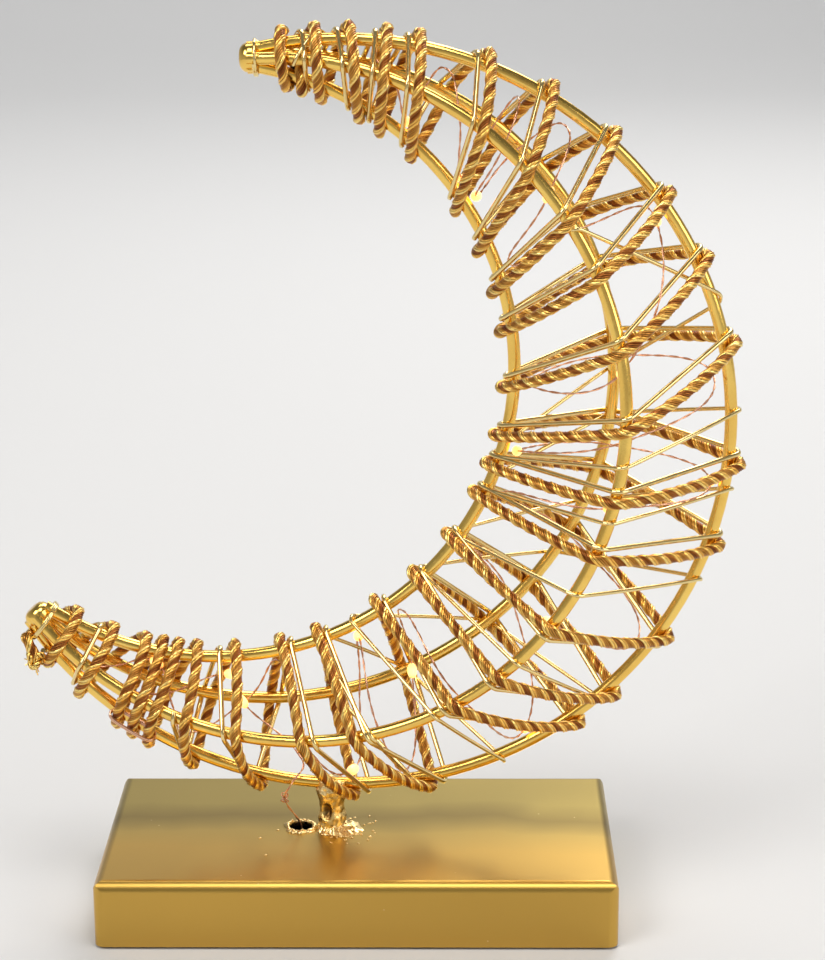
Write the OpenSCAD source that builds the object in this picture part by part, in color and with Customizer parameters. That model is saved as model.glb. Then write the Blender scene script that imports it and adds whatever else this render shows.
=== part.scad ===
// Crescent moon lamp for a table. Four bowed rods meet in bundles at two tips and
// form an open crescent cage. A twisted rope and a plain wire are wound round the
// cage, a string of small lamps runs inside it, and a short stud stands it on a
// pressed metal base with the cells, the board and the switch underneath.
// The origin is the middle of the base on the table, +X is the lamp's right,
// +Y its back and +Z up.

/* [Base] */
// Length of the base along X
base_w = 150; // [140:1:200]
// Depth of the base along Y
base_d = 78; // [76:1:110]
// Height of the top of the base above the table
base_h = 20.5; // [20.5:0.5:30]
// Thickness of the base's sheet
sheet_t = 1; // [0.8:0.1:1.1]
// Outer radius of the upright corners of the base
corner_r = 3; // [2:0.5:6]
// Outer bend radius along the top edges of the base
edge_r = 3; // [2:0.5:5]
// Height of the lower rim of the base above the table
rim_lift = 0.8; // [0.5:0.1:1.5]
// Diameter of the hole that lets the lamp string into the base
string_hole_d = 7; // [5:0.5:9]
// Place of that hole along X
string_hole_x = -17.5; // [-19:0.5:-16.5]

/* [Underside] */
// Thickness of the foam pad that the lamp stands on
pad_t = 2; // [1.8:0.1:3]
// Thickness of the board that closes the base
plate_t = 2; // [1.5:0.1:2.2]
// Gap between that board and the walls of the base
plate_gap = 0.3; // [0.2:0.05:0.6]
// Shank diameter of the four screws of the board
screw_d = 3; // [2.5:0.1:3.5]
// Head diameter of the screws
screw_head_d = 5.6; // [5:0.1:6.5]
// Height of the screw heads
screw_head_h = 1.5; // [1.2:0.1:1.6]
// Distance from the end wall to the screws
screw_inset_x = 6; // [5.5:0.1:7]
// Distance from the long walls to the screws
screw_inset_y = 6.5; // [5.5:0.1:7]

/* [Cells] */
// Diameter of a cell
cell_d = 14.2; // [13.5:0.1:14.3]
// Length of a cell with its nub
cell_l = 50.5; // [48:0.5:51]
// Number of cells side by side
cell_count = 3; // [2:1:3]
// Gap between neighbouring cells
cell_gap = 0.4; // [0.2:0.1:0.6]
// Length of a contact spring as pressed by its cell
spring_l = 4; // [3.6:0.2:5]
// Wall of the cell box
box_wall = 1.2; // [1:0.1:1.5]
// Width of the flange of the cell box
box_flange = 3; // [2:0.5:3]
// Thickness of the cell door
door_t = 1.4; // [1.2:0.1:1.4]
// Diameter of the hinge pins of the cell door
pin_d = 1.2; // [1:0.1:1.2]

/* [Switch] */
// Travel of the switch
switch_travel = 3; // [2:0.5:4]
// Distance from the middle of the base to the middle of the circuit board
board_x = -33; // [-36:1:-33]
// Length of the circuit board
board_l = 26; // [25:1:28]
// Width of the circuit board
board_w = 16; // [14:1:20]

/* [Crescent] */
// Distance between the two tips
tip_spacing = 173.5; // [150:0.2:190]
// Distance from the line of the tips to the outer rod
outer_depth = 172; // [165:0.1:185]
// Distance from the line of the tips to the side rods, along their plane
side_depth = 140.7; // [134:0.1:150]
// Distance from the line of the tips to the inner rod
inner_depth = 106.8; // [100:0.1:116]
// Angle by which each side rod leans out of the middle plane
side_tilt = 10.3; // [8:0.1:13]
// Lean of the line of the tips
lean = 23.8; // [20:0.1:28]
// Place of the middle of the outer rod's arc along X
moon_x = -2.7; // [-10:0.1:5]
// Height of the underside of the outer rod above the base
rise = 12.5; // [10:0.5:20]
// Diameter of a rod
rod_d = 3.6; // [3:0.1:4]
// Gap between the rods where they are bundled at a tip
rod_gap = 0.15; // [0.1:0.05:0.4]
// Straight length of the rods past the bend at the upper tip
upper_run = 3.4; // [2:0.2:5]
// Length cut off the rods at the lower tip
lower_trim = 2.5; // [0:0.5:6]

/* [Stand] */
// Diameter of the stud that carries the crescent
stud_d = 8.2; // [7:0.1:9]
// Radius of the weld at the foot of the stud
weld_r = 6.2; // [5:0.1:6.4]
// Radius of the braze between stud and rod
braze_r = 5; // [4.6:0.1:5.4]

/* [Windings] */
// Diameter of the twisted rope
rope_d = 3.5; // [3:0.1:3.8]
// Diameter of the plain wire
wire_d = 1.5; // [1:0.1:1.6]
// Gap between a winding and the rods
wind_gap = 0.4; // [0.2:0.05:0.5]
// Outward bow of a span of rope between two rods
rope_bow = 2.8; // [2.8:0.1:3.2]
// Distance between the middle lines of rope and wire
wire_step = 3.1; // [3:0.05:3.4]
// Diameter of the copper wire that binds the rope's tight turns
binding_d = 0.7; // [0.5:0.1:0.8]

/* [Lamps] */
// Diameter of the lamp string
string_d = 0.7; // [0.5:0.1:0.8]
// Diameter of a lamp bead
bead_d = 3; // [2.4:0.1:3.2]
// Length of a lamp bead
bead_l = 5; // [4.5:0.1:6]

/* [Hidden] */
$fn = 64;
gold = [0.86, 0.66, 0.27];
bronze = [0.66, 0.42, 0.18];
nickel = [0.78, 0.78, 0.76];
copper = [0.80, 0.45, 0.30];

// One overrun serves all cuts that go right through.
cut = 0.5;
// Clearance of flat pieces that slide or drop into place.
fit = 0.2;
// Radial clearance of a pin or screw in its bore.
pin_clear = 0.05;

// Base: heights of its layers and its inside.
plate_top = pad_t + plate_t;
room_w = base_w - 2 * sheet_t;
room_d = base_d - 2 * sheet_t;
collar_w = 0.8;
collar_h = 0.5;
bracket_t = 1.5;
bracket_l = 9;
bracket_h = 9;
screw_grip = 4;
screw_x = room_w / 2 - screw_inset_x;
screw_y = room_d / 2 - screw_inset_y;
head_room = 1.2;
cross_w = 0.7;
cross_share = 0.62;

// Cell box: chambers, door and hinge.
cell_r = cell_d / 2;
cell_pitch = cell_d + cell_gap;
contact_t = 0.5;
chamber_l = cell_l + spring_l + 2 * contact_t;
chamber_w = cell_count * cell_pitch + 2 * fit;
box_l = chamber_l + 2 * box_wall;
box_w = chamber_w + 2 * box_wall;
box_x = room_w / 2 - bracket_l - fit - box_flange - box_l / 2;
roof_t = 0.8;
flange_t = 1.2;
box_foot = pad_t - 2 * fit;
door_low = pad_t + fit;
hinge_z = door_low + door_t / 2;
hinge_set = 1.5;
hinge_x = box_x + chamber_l / 2 - hinge_set;
door_end = box_x - chamber_l / 2 + 1.5 * fit;
cell_z = door_low + door_t + 2 * fit + cell_r;
box_top = cell_z + cell_r + fit + roof_t;
rib_t = 1;
rib_h = 3;
notch_w = 12;
grip_w = 14;
grip_t = 0.8;
grip_h = 0.5;
grip_row_count = 4;
pad_margin = 1;

// Contacts of the cells.
contact_w = 10;
contact_low = cell_z - contact_w / 2;
spring_wire_d = 0.7;
spring_wide_r = 4.6;
spring_narrow_r = 2.8;
spring_turn_count = 3;
spring_ring_count = 8;
nub_d = 5.5;
nub_l = 1.2;
crimp_r = 0.8;

// Switch and circuit board.
lever_l = 2.2;
lever_w = 1.8;
block_l = 4.2;
block_w = 3.6;
block_h = 1.8;
slide_clear = 0.3;
lever_low = 0.6;
housing_floor = 0.6;
housing_wall = 1;
housing_l = block_l + switch_travel + 2 * slide_clear + 2 * housing_wall;
housing_w = block_w + 2 * slide_clear + 2 * housing_wall;
housing_h = 4;
cavity_h = block_h + 2 * slide_clear;
slot_l = lever_l + switch_travel + 2 * slide_clear;
slot_w = lever_w + 2 * slide_clear;
slider_x = board_x - switch_travel / 2;
board_t = 1.2;
board_low = plate_top + housing_h;
board_top = board_low + board_t;
post_d = 4;
peg_d = 2;
peg_h = 0.6;
post_inset = 2.6;
post_y = 5;
lead_d = 1.2;
resistor_d = 2.4;
resistor_l = 6;
resistor_leg_d = 0.6;
resistor_x = board_x - resistor_l;
resistor_lift = 0.2;

// Crescent: the circles of its rods, in a frame whose u axis runs from the line
// of the tips to the belly and whose v axis runs along that line to the upper tip.
rod_r = rod_d / 2;
half_spacing = tip_spacing / 2;
tip_angle = 115;
bundle_off = (rod_d + rod_gap) / sqrt(2);
tip_across = [cos(tip_angle), sin(tip_angle)];
outer_end = [0, half_spacing] + bundle_off * tip_across;
inner_end = [0, half_spacing] - bundle_off * tip_across;
side_end = [0, half_spacing];
function arc_radius(end, depth) = (pow(depth - end[0], 2) + pow(end[1], 2)) / (2 * (depth - end[0]));
function arc_half(end, depth) = atan2(end[1], end[0] - depth + arc_radius(end, depth));
outer_r = arc_radius(outer_end, outer_depth);
inner_r = arc_radius(inner_end, inner_depth);
side_r = arc_radius(side_end, side_depth);
outer_u = outer_depth - outer_r;
inner_u = inner_depth - inner_r;
side_u = side_depth - side_r;
outer_a = arc_half(outer_end, outer_depth);
inner_a = arc_half(inner_end, inner_depth);
side_a = arc_half(side_end, side_depth);
moon_z = base_h + rise + rod_r + outer_r;
rod_fn = 180;

// Bends near the upper tip, a little thicker than the rods.
elbow_r = rod_r + rod_gap / 4;

// Tip caps. Their sides leave the outermost edges of the rods bare.
cap_set = 0.35;
cap_r = bundle_off + rod_r - cap_set;
cap_skirt = 1.6;
cap_l = 2.2;
cap_nose_r = 2.6;

// Stand.
stud_r = stud_d / 2;
stud_waist = 0.5;
stud_waist_r = 8;
weld_h = 2.2;
braze_drop = 1.2;
braze_top = 0.8;
stud_turn_count = 17;
braze_gap = 1.4;

// Windings. A share is a place along the outer rod, 0 at the upper tip and 1 at
// the lower one. Quarter 0 of a turn is at the outer rod, 1 at the front rod,
// 2 at the inner rod and 3 at the back rod.
tube_side_count = 6;
thin_side_count = 5;
string_side_count = 4;
bow_share = 0.12;
bend_share = 1.12;
slope_step_share = 0.001;
// The rope is wound by hand and its turns follow no rule, so the share at the outer
// rod and the one at the inner rod are chosen for each turn.
rope_shares = [
    0.014, 0.010, 0.034, 0.032, 0.052, 0.059, 0.073, 0.074, 0.091, 0.101, 0.131, 0.153,
    0.170, 0.192, 0.214, 0.233, 0.260, 0.276, 0.302, 0.347, 0.354, 0.418, 0.427, 0.465,
    0.477, 0.516, 0.541, 0.597, 0.587, 0.673, 0.613, 0.733, 0.712, 0.802, 0.758, 0.835,
    0.815, 0.872, 0.858, 0.900, 0.888, 0.913, 0.899, 0.924, 0.910, 0.935,
    0.940, 0.957, 0.966, 0.982, 0.986, 0.995];
tight_turn_count = 20;
rope_start_count = 0;
rope_end_count = 2 * len(rope_shares) - 4;
wire_start_count = 3;
wire_end_count = 4 * tight_turn_count - 3;
cross_start_count = 52;
cross_end_count = 64;
below_start_count = 72;
wire_tail_start_count = 4 * tight_turn_count + 12;
wire_tail_end_count = rope_end_count - 4;
binding_turn_count = 2;
binding_ring_count = 12;
binding_at_count = tight_turn_count + 1;
binding_place_share = 0.7;

// The stud stands beside one of the rope's turns, with a gap between rope and braze.
stud_share = rope_shares[2 * stud_turn_count] + share_of(braze_r + rope_d / 2 + braze_gap, outer_r);
stud_x = in_world(placed(stud_share, rod_at(stud_share, 0)))[0];
rod_over_stud = moon_z - sqrt(pow(outer_r, 2) - pow(stud_x - moon_x, 2));

// Lamp string: the share at each stop. The stops go round the cage the other way,
// from the outer rod to the back, the inner and the front rod, and so on.
string_shares = [
    0.795, 0.845, 0.862, 0.905, 0.944, 0.935, 0.916, 0.89, 0.872, 0.842, 0.825, 0.80,
    0.762, 0.757, 0.753, 0.74, 0.725, 0.713, 0.70, 0.67, 0.646, 0.61, 0.585, 0.57,
    0.55, 0.53, 0.50, 0.457, 0.44, 0.44, 0.438, 0.40, 0.375, 0.36, 0.35, 0.343,
    0.268, 0.25, 0.225, 0.203, 0.19, 0.175, 0.163, 0.16, 0.156, 0.152, 0.148, 0.125,
    0.11, 0.10, 0.095, 0.08, 0.065];
// The stops that carry a lamp bead, counted in quarter turns.
bead_quarter_turns = [1, 2, 4, 6, 12, 14, 17, 20, 22, 23, 27, 28, 30, 35, 36, 39, 42, 46, 50];
string_bulge_share = 0.04;
string_turn = 1.2;
bead_clear = 0.9;
// The first stops lie deeper in the cage, so that the string's way back clears them.
deep_stop_count = 4;
deeper_by = 2.2;

// Vectors and points.
function unit(v) = v / norm(v);
function outward(a, b) = unit([a[1] - b[1], b[0] - a[0]]);
function ray(s) = outer_a * (1 - 2 * s);
function inner_reach(s) = let (
        g = ray(s),
        gap = outer_u - inner_u)
    sqrt(pow(inner_r, 2) - pow(gap * sin(g), 2)) - gap * cos(g);
function side_reach(s) = let (
        g = ray(s),
        wide = 1 / cos(side_tilt),
        gap = outer_u * wide - side_u,
        a = pow(wide * cos(g), 2) + pow(sin(g), 2),
        b = gap * wide * cos(g))
    (sqrt(b * b - a * (gap * gap - side_r * side_r)) - b) / a;
function side_width(s) = bundle_off + (outer_u + side_reach(s) * cos(ray(s))) * tan(side_tilt);
// Where the rod of a quarter crosses the section at a share, as reach and width.
function rod_at(s, q) = q == 0 ? [outer_r, 0]
    : q == 2 ? [inner_reach(s), 0]
    : [side_reach(s), (q == 1 ? -1 : 1) * side_width(s)];
function placed(s, p) = [outer_u + p[0] * cos(ray(s)), p[1], p[0] * sin(ray(s))];
// The share that a length along the crescent takes at a given reach.
function share_of(length, reach) = length / (reach * 2 * outer_a * PI / 180);
function rod_slope(s, q) = unit(placed(s + slope_step_share, rod_at(s + slope_step_share, q))
    - placed(s - slope_step_share, rod_at(s - slope_step_share, q)));
// A point beside a rod, at a clear distance from the rod's middle line.
function beside(s, q, dir, dist) = let (
        deep = [dir[0] * cos(ray(s)), dir[1], dir[0] * sin(ray(s))],
        gain = 1 / sqrt(1 - pow(deep * rod_slope(s, q), 2)))
    placed(s, rod_at(s, q) + dist * gain * dir);
function in_world(p) = [
    moon_x + (p[0] - outer_u) * cos(lean) + p[2] * sin(lean),
    p[1],
    moon_z - (p[0] - outer_u) * sin(lean) + p[2] * cos(lean)];

// The middle line of a winding whose share at each quarter is given, with one
// spare quarter before the first and one after the last.
function wound_path(shares, before, dist, bow) = [
    for (i = [1 : len(shares) - 2]) let (
        q = (before + i) % 4,
        p = (q + 3) % 4,
        n = (q + 1) % 4,
        s = shares[i],
        a = rod_at(shares[i - 1], p),
        b = rod_at(s, q),
        c = rod_at(shares[i + 1], n),
        bend = dist * PI / 4,
        s_in = s - (s - shares[i - 1]) * bend / (norm(b - a) + 2 * bend),
        s_out = s + (shares[i + 1] - s) * bend / (norm(c - b) + 2 * bend),
        s_mid = (s + shares[i + 1]) / 2,
        dir_in = outward(a, b),
        dir_out = outward(b, c),
        middle = (rod_at(s_mid, q) + rod_at(s_mid, n)) / 2,
        lift = dist + min(bow, bow_share * norm(c - b)))
    each [
        beside(s_in, q, dir_in, dist),
        beside(s, q, unit(dir_in + dir_out), bend_share * dist),
        beside(s_out, q, dir_out, dist),
        if (bow > 0 && i < len(shares) - 2) placed(s_mid, middle + lift * dir_out)]];
// Both ends run on straight by one diameter.
function with_ends(p, d) = let (n = len(p)) concat(
    [p[0] + d * unit(p[0] - p[1])], p, [p[n - 1] + d * unit(p[n - 1] - p[n - 2])]);

// The share of the rope at a quarter: front and back lie halfway between the others.
function chosen_share(i) = rope_shares[min(max(i, 0), len(rope_shares) - 1)];
function rope_share(j) = (chosen_share(floor(j / 2)) + chosen_share(ceil(j / 2))) / 2;
// How much longer the rope's way to the next rod is than the section there.
function slant(j) = let (
        q = (j + 4) % 4,
        s = rope_share(j),
        t = rope_share(j + 1),
        a = rod_at(s, q),
        b = rod_at(t, (q + 1) % 4))
    norm(placed(t, b) - placed(s, a)) / norm(b - a);
// The plain wire keeps above the rope and goes below it near the lower tip. In a
// few turns of the lower half it is below the rope at the outer and front rods only
// and crosses it between the rods.
function wire_share(j) = let (
        q = (j + 4) % 4,
        s = rope_share(j),
        crossing = j >= cross_start_count && j < cross_end_count,
        below = j >= below_start_count || (crossing && q < 2))
    s + (below ? 1 : -1) * share_of(wire_step * max(slant(j - 1), slant(j)), rod_at(s, q)[0]);

rope_reach = rod_r + rope_d / 2 + wind_gap;
wire_reach = rod_r + wire_d / 2 + wind_gap;
rope_line = with_ends(wound_path([for (j = [rope_start_count - 1 : rope_end_count + 1]) rope_share(j)],
    rope_start_count - 1, rope_reach, rope_bow), rope_d);
wire_line = with_ends(wound_path([for (j = [wire_start_count - 1 : wire_end_count + 1]) wire_share(j)],
    wire_start_count - 1, wire_reach, 0), wire_d);
wire_tail_line = with_ends(wound_path(
    [for (j = [wire_tail_start_count - 1 : wire_tail_end_count + 1]) wire_share(j)],
    wire_tail_start_count - 1, wire_reach, 0), wire_d);

// The binding: turns round the three tight strands, near the outer rod.
function strand_at(k, f) = let (ring = 4 * (4 * k - rope_start_count) + 3)
    rope_line[ring] + f * (rope_line[ring + 1] - rope_line[ring]);
binding_middle = strand_at(binding_at_count, binding_place_share);
binding_along = unit(strand_at(binding_at_count, 1) - binding_middle);
binding_side = unit(strand_at(binding_at_count + 1, binding_place_share) - binding_middle);
binding_long = norm(strand_at(binding_at_count + 1, binding_place_share) - binding_middle)
    + rope_d / 2 + 2.5 * binding_d;
binding_deep = rope_d / 2 + binding_d / 2 + 3 * wind_gap;
binding_line = [for (i = [0 : binding_turn_count * binding_ring_count]) let (
        g = 360 * i / binding_ring_count + 90,
        f = i / binding_ring_count - binding_turn_count / 2)
    binding_middle + binding_long * cos(g) * binding_side
        + binding_deep * sin(g) * unit(cross(binding_side, binding_along))
        + 2 * binding_d * f * binding_along];

// The lamp string lies inside the rods, a bead's radius away from them.
inside_by = rod_r + bead_d / 2 + bead_clear;
function string_quarter(i) = (4 * len(string_shares) - i) % 4;
function stop_at(i) = let (
        s = string_shares[i],
        q = string_quarter(i),
        rod = rod_at(s, q),
        heart = [(outer_r + inner_reach(s)) / 2, 0])
    in_world(placed(s, rod + (inside_by + (i < deep_stop_count ? deeper_by : 0)) * unit(heart - rod)));
function bulged(i) = let (
        last = len(string_shares) - 1,
        near = (stop_at(i) + stop_at(i + 1)) / 2,
        far = (stop_at(max(i - 1, 0)) + stop_at(min(i + 2, last))) / 2)
    near + string_bulge_share * (near - far);
cage_line = [for (i = [0 : len(string_shares) - 2])
    each [
        if (i > 0) stop_at(i) + string_turn * unit(bulged(i - 1) - stop_at(i)),
        stop_at(i) + string_turn * unit(bulged(i) - stop_at(i)),
        bulged(i)]];
entry_share = 0.8;
entry_aside = rod_r + string_d + 2 * string_turn;
entry = in_world(placed(entry_share, rod_at(entry_share, 0) - [0, entry_aside]));
string_rise = [
    [board_x + board_l / 2 - 2 * string_turn, 0, board_top + string_d / 2],
    [board_x + board_l / 2 - string_turn, 0, board_top + 2 * string_turn],
    [(board_x + board_l / 2 + string_hole_x) / 2, 0, (board_top + base_h) / 2],
    [string_hole_x, 0, base_h - 2 * sheet_t],
    [string_hole_x, 0, base_h + sheet_t]];
string_line = concat(string_rise,
    [for (f = [0.35, 0.75, 1]) string_rise[4] + f * (entry - string_rise[4])],
    cage_line, [stop_at(len(string_shares) - 1)]);

// Tubes along a path.
function directions(p) = [for (i = [0 : len(p) - 1])
    i == 0 ? unit(p[1] - p[0])
    : i == len(p) - 1 ? unit(p[i] - p[i - 1])
    : unit(unit(p[i + 1] - p[i]) + unit(p[i] - p[i - 1]))];
function across(n, t) = unit(n - (n * t) * t);
function first_across(t) = across(abs(t[2]) < 0.8 ? [0, 0, 1] : [1, 0, 0], t);
function turned(t) = [for (i = 0, n = first_across(t[0]); i < len(t);
    i = i + 1, n = i < len(t) ? across(n, t[i]) : n) n];
function tube_points(p, r, sides) = let (
        t = directions(p),
        n = turned(t))
    [for (i = [0 : len(p) - 1], k = [0 : sides - 1]) let (g = 360 * k / sides)
        p[i] + r * (cos(g) * n[i] + sin(g) * cross(t[i], n[i]))];
function tube_faces(rings, sides) = let (last = (rings - 1) * sides) concat(
    [for (i = [0 : rings - 2], k = [0 : sides - 1]) let (
            a = i * sides + k,
            b = i * sides + (k + 1) % sides)
        each [[a, a + sides, b + sides], [a, b + sides, b]]],
    [for (k = [1 : sides - 2]) [0, k, k + 1]],
    [for (k = [1 : sides - 2]) [last, last + k + 1, last + k]]);
function segment_gap(p, a, b) = let (
        ab = b - a,
        f = max(0, min(1, (p - a) * ab / (ab * ab))))
    norm(p - a - f * ab);
// The least gap of a tube to itself, between points that lie some rings apart.
function self_gap(p, d, apart) = min([for (i = [0 : len(p) - 1], j = [0 : len(p) - 2])
    if (abs(i - j) >= apart) segment_gap(p[i], p[j], p[j + 1])]) - d;

module tube(p, d, sides) {
    polyhedron(points = tube_points(p, d / 2, sides), faces = tube_faces(len(p), sides));
}

module wound_tube(label, p, d, apart, sides) {
    echo(str(label, ": least gap to itself ", self_gap(p, d, apart), " mm"));
    tube(p, d, sides);
}

module in_crescent() {
    translate([moon_x, 0, moon_z]) rotate([0, lean, 0]) translate([-outer_u, 0, 0]) children();
}

module rounded_sheet(l, w, r) {
    square([l, w - 2 * r], center = true);
    square([l - 2 * r, w], center = true);
    for (x = [-1, 1], y = [-1, 1]) translate([x * (l / 2 - r), y * (w / 2 - r)]) circle(r);
}

module top_rounded(l, h, r) {
    translate([-l / 2, 0]) square([l, h - r]);
    translate([r - l / 2, 0]) square([l - 2 * r, h]);
    for (x = [-1, 1]) translate([x * (l / 2 - r), h - r]) circle(r);
}

module bent_block(l, w, h, r_corner, r_edge) {
    intersection() {
        linear_extrude(h) rounded_sheet(l, w, r_corner);
        rotate([90, 0, 0]) linear_extrude(w, center = true) top_rounded(l, h, r_edge);
        rotate([90, 0, 90]) linear_extrude(l, center = true) top_rounded(w, h, r_edge);
    }
}

module slab(l, w, low, high) {
    translate([-l / 2, -w / 2, low]) cube([l, w, high - low]);
}

module at_screws() {
    for (x = [-1, 1], y = [-1, 1]) translate([x * screw_x, y * screw_y, 0]) children();
}

// Base
module base_shell() {
    color(gold) {
        difference() {
            translate([0, 0, rim_lift]) bent_block(base_w, base_d, base_h - rim_lift, corner_r, edge_r);
            translate([0, 0, rim_lift - cut]) bent_block(room_w, room_d,
                base_h - sheet_t - rim_lift + cut, corner_r - sheet_t, edge_r - sheet_t);
            translate([string_hole_x, 0, base_h - sheet_t - cut])
                cylinder(d = string_hole_d, h = sheet_t + 2 * cut);
        }
        translate([string_hole_x, 0, base_h]) hole_collar();
    }
}

module hole_collar() {
    rotate_extrude() difference() {
        translate([string_hole_d / 2, 0]) square([collar_w, collar_h]);
        translate([string_hole_d / 2 + collar_w, collar_h]) circle(collar_h / 2);
    }
}

module corner_brackets() {
    color(nickel) for (x = [-1, 1], y = [-1, 1]) mirror([x < 0 ? 1 : 0, 0, 0]) difference() {
        union() {
            translate([room_w / 2 - bracket_l, y * screw_y - bracket_l / 2, plate_top])
                cube([bracket_l, bracket_l, bracket_t]);
            translate([room_w / 2 - bracket_t, y * screw_y - bracket_l / 2, plate_top])
                cube([bracket_t, bracket_l, bracket_h]);
        }
        translate([screw_x, y * screw_y, plate_top - cut])
            cylinder(d = screw_d + 2 * pin_clear, h = bracket_t + 2 * cut);
    }
}

module base_plate() {
    color([0.12, 0.12, 0.13]) {
        difference() {
            translate([0, 0, pad_t]) linear_extrude(plate_t)
                rounded_sheet(room_w - 2 * plate_gap, room_d - 2 * plate_gap, corner_r - sheet_t);
            translate([box_x, 0, 0]) slab(box_l + fit, box_w + fit, pad_t - cut, plate_top + cut);
            translate([board_x, 0, 0]) slab(slot_l, slot_w, pad_t - cut, plate_top + cut);
            at_screws() translate([0, 0, pad_t - cut])
                cylinder(d = screw_d + 2 * fit, h = plate_t + 2 * cut);
        }
        for (y = [-1, 1]) translate([board_x - board_l / 2 + post_inset, y * post_y, plate_top]) {
            cylinder(d = post_d, h = housing_h);
            cylinder(d = peg_d, h = housing_h + board_t + peg_h);
        }
    }
}

module foam_pad() {
    color([0.16, 0.16, 0.17]) difference() {
        linear_extrude(pad_t)
            rounded_sheet(room_w - 4 * plate_gap, room_d - 4 * plate_gap, corner_r - sheet_t);
        translate([box_x, 0, 0])
            slab(box_l + 2 * pad_margin, box_w + 2 * pad_margin, -cut, pad_t + cut);
        translate([board_x, 0, 0])
            slab(slot_l + 4 * pad_margin, slot_w + 4 * pad_margin, -cut, pad_t + cut);
        at_screws() translate([0, 0, -cut])
            cylinder(d = screw_head_d + 2 * head_room, h = pad_t + 2 * cut);
    }
}

module plate_screws() {
    color(nickel) at_screws() difference() {
        union() {
            translate([0, 0, pad_t - screw_head_h]) cylinder(d = screw_head_d, h = screw_head_h);
            translate([0, 0, pad_t]) cylinder(d = screw_d, h = plate_t + screw_grip);
        }
        for (a = [0, 90]) rotate(a) slab(screw_head_d * cross_share, cross_w,
            pad_t - screw_head_h - cut, pad_t - screw_head_h / 2);
    }
}

// Cells, their box and their door
module at_cells() {
    for (i = [0 : cell_count - 1])
        translate([box_x, (i - (cell_count - 1) / 2) * cell_pitch, cell_z])
            rotate(180 * (i % 2)) children();
}

module battery_box() {
    color([0.15, 0.15, 0.16]) difference() {
        union() {
            translate([box_x, 0, 0]) slab(box_l, box_w, box_foot, box_top);
            translate([box_x, 0, 0])
                slab(box_l + 2 * box_flange, box_w + 2 * box_flange, plate_top, plate_top + flange_t);
        }
        difference() {
            translate([box_x, 0, 0]) slab(chamber_l, chamber_w, box_foot - cut, box_top - roof_t);
            for (i = [1 : cell_count - 1])
                translate([box_x, (i - cell_count / 2) * cell_pitch, 0])
                    slab(cell_l, rib_t, box_top - roof_t - rib_h, box_top);
        }
        translate([hinge_x, 0, hinge_z]) rotate([90, 0, 0])
            cylinder(d = pin_d + 2 * pin_clear, h = box_w + 2 * cut, center = true);
        translate([box_x - chamber_l / 2, 0, 0])
            slab(2 * box_wall + 2 * fit, notch_w, box_foot - cut, door_low + door_t);
    }
}

module battery_door() {
    color([0.15, 0.15, 0.16]) {
        translate([door_end, fit - chamber_w / 2, door_low])
            cube([hinge_x - door_end, chamber_w - 2 * fit, door_t]);
        translate([hinge_x, 0, hinge_z]) rotate([90, 0, 0]) {
            cylinder(d = door_t, h = chamber_w - 2 * fit, center = true);
            cylinder(d = pin_d, h = chamber_w + 2 * box_wall, center = true);
        }
        for (i = [1 : grip_row_count])
            translate([door_end + 3 * i * grip_t, -grip_w / 2, door_low - grip_h])
                cube([grip_t, grip_w, grip_h + door_t / 2]);
    }
}

module battery_cells() {
    color([0.75, 0.63, 0.30]) at_cells() rotate([0, 90, 0])
        translate([0, 0, contact_t + spring_l - chamber_l / 2]) {
            can = cell_l - nub_l;
            rotate_extrude() {
                square([cell_r - crimp_r, can]);
                translate([0, crimp_r]) square([cell_r, can - 2 * crimp_r]);
                for (z = [crimp_r, can - crimp_r]) translate([cell_r - crimp_r, z]) circle(crimp_r);
            }
            translate([0, 0, can - crimp_r]) cylinder(d = nub_d, h = nub_l + crimp_r);
        }
}

module contact_plates() {
    first_y = -(cell_count - 1) / 2 * cell_pitch;
    color(nickel) {
        contact(-1, first_y, first_y + cell_pitch);
        contact(1, first_y, first_y);
        if (cell_count > 2) {
            contact(-1, first_y + 2 * cell_pitch, first_y + 2 * cell_pitch);
            contact(1, first_y + cell_pitch, first_y + 2 * cell_pitch);
        } else {
            contact(1, first_y + cell_pitch, first_y + cell_pitch);
        }
    }
}

module contact(end, y_from, y_to) {
    translate([box_x + end * (chamber_l - contact_t) / 2, (y_from + y_to) / 2, 0])
        slab(contact_t, y_to - y_from + contact_w, contact_low, contact_low + contact_w);
}

module contact_springs() {
    rings = spring_turn_count * spring_ring_count;
    from = -chamber_l / 2 + contact_t + spring_wire_d / 2;
    run = spring_l - spring_wire_d;
    coil = [for (i = [0 : rings]) let (
            f = i / rings,
            g = 360 * i / spring_ring_count,
            r = spring_wide_r + (spring_narrow_r - spring_wide_r) * f)
        [from + run * f, r * cos(g), r * sin(g)]];
    color(nickel) at_cells()
        wound_tube("contact spring", coil, spring_wire_d, spring_ring_count / 2, thin_side_count);
}

// Circuit board, switch and leads
module circuit_board() {
    color([0.10, 0.35, 0.20]) translate([board_x, 0, 0]) difference() {
        slab(board_l, board_w, board_low, board_top);
        for (y = [-1, 1]) translate([post_inset - board_l / 2, y * post_y, board_low - cut])
            cylinder(d = peg_d + 2 * pin_clear, h = board_t + 2 * cut);
    }
}

module resistor() {
    rise_z = board_top + resistor_lift + resistor_d / 2;
    leg_y = resistor_l / 2 + 2 * resistor_leg_d;
    color([0.72, 0.60, 0.42]) translate([resistor_x, 0, 0]) {
        translate([0, 0, rise_z]) rotate([90, 0, 0]) {
            cylinder(d = resistor_d, h = resistor_l, center = true);
            cylinder(d = resistor_leg_d, h = 2 * leg_y, center = true);
        }
        for (y = [-1, 1]) translate([0, y * leg_y, board_top]) {
            cylinder(d = resistor_leg_d, h = rise_z - board_top);
            translate([0, 0, rise_z - board_top]) sphere(d = resistor_leg_d);
        }
    }
}

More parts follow.
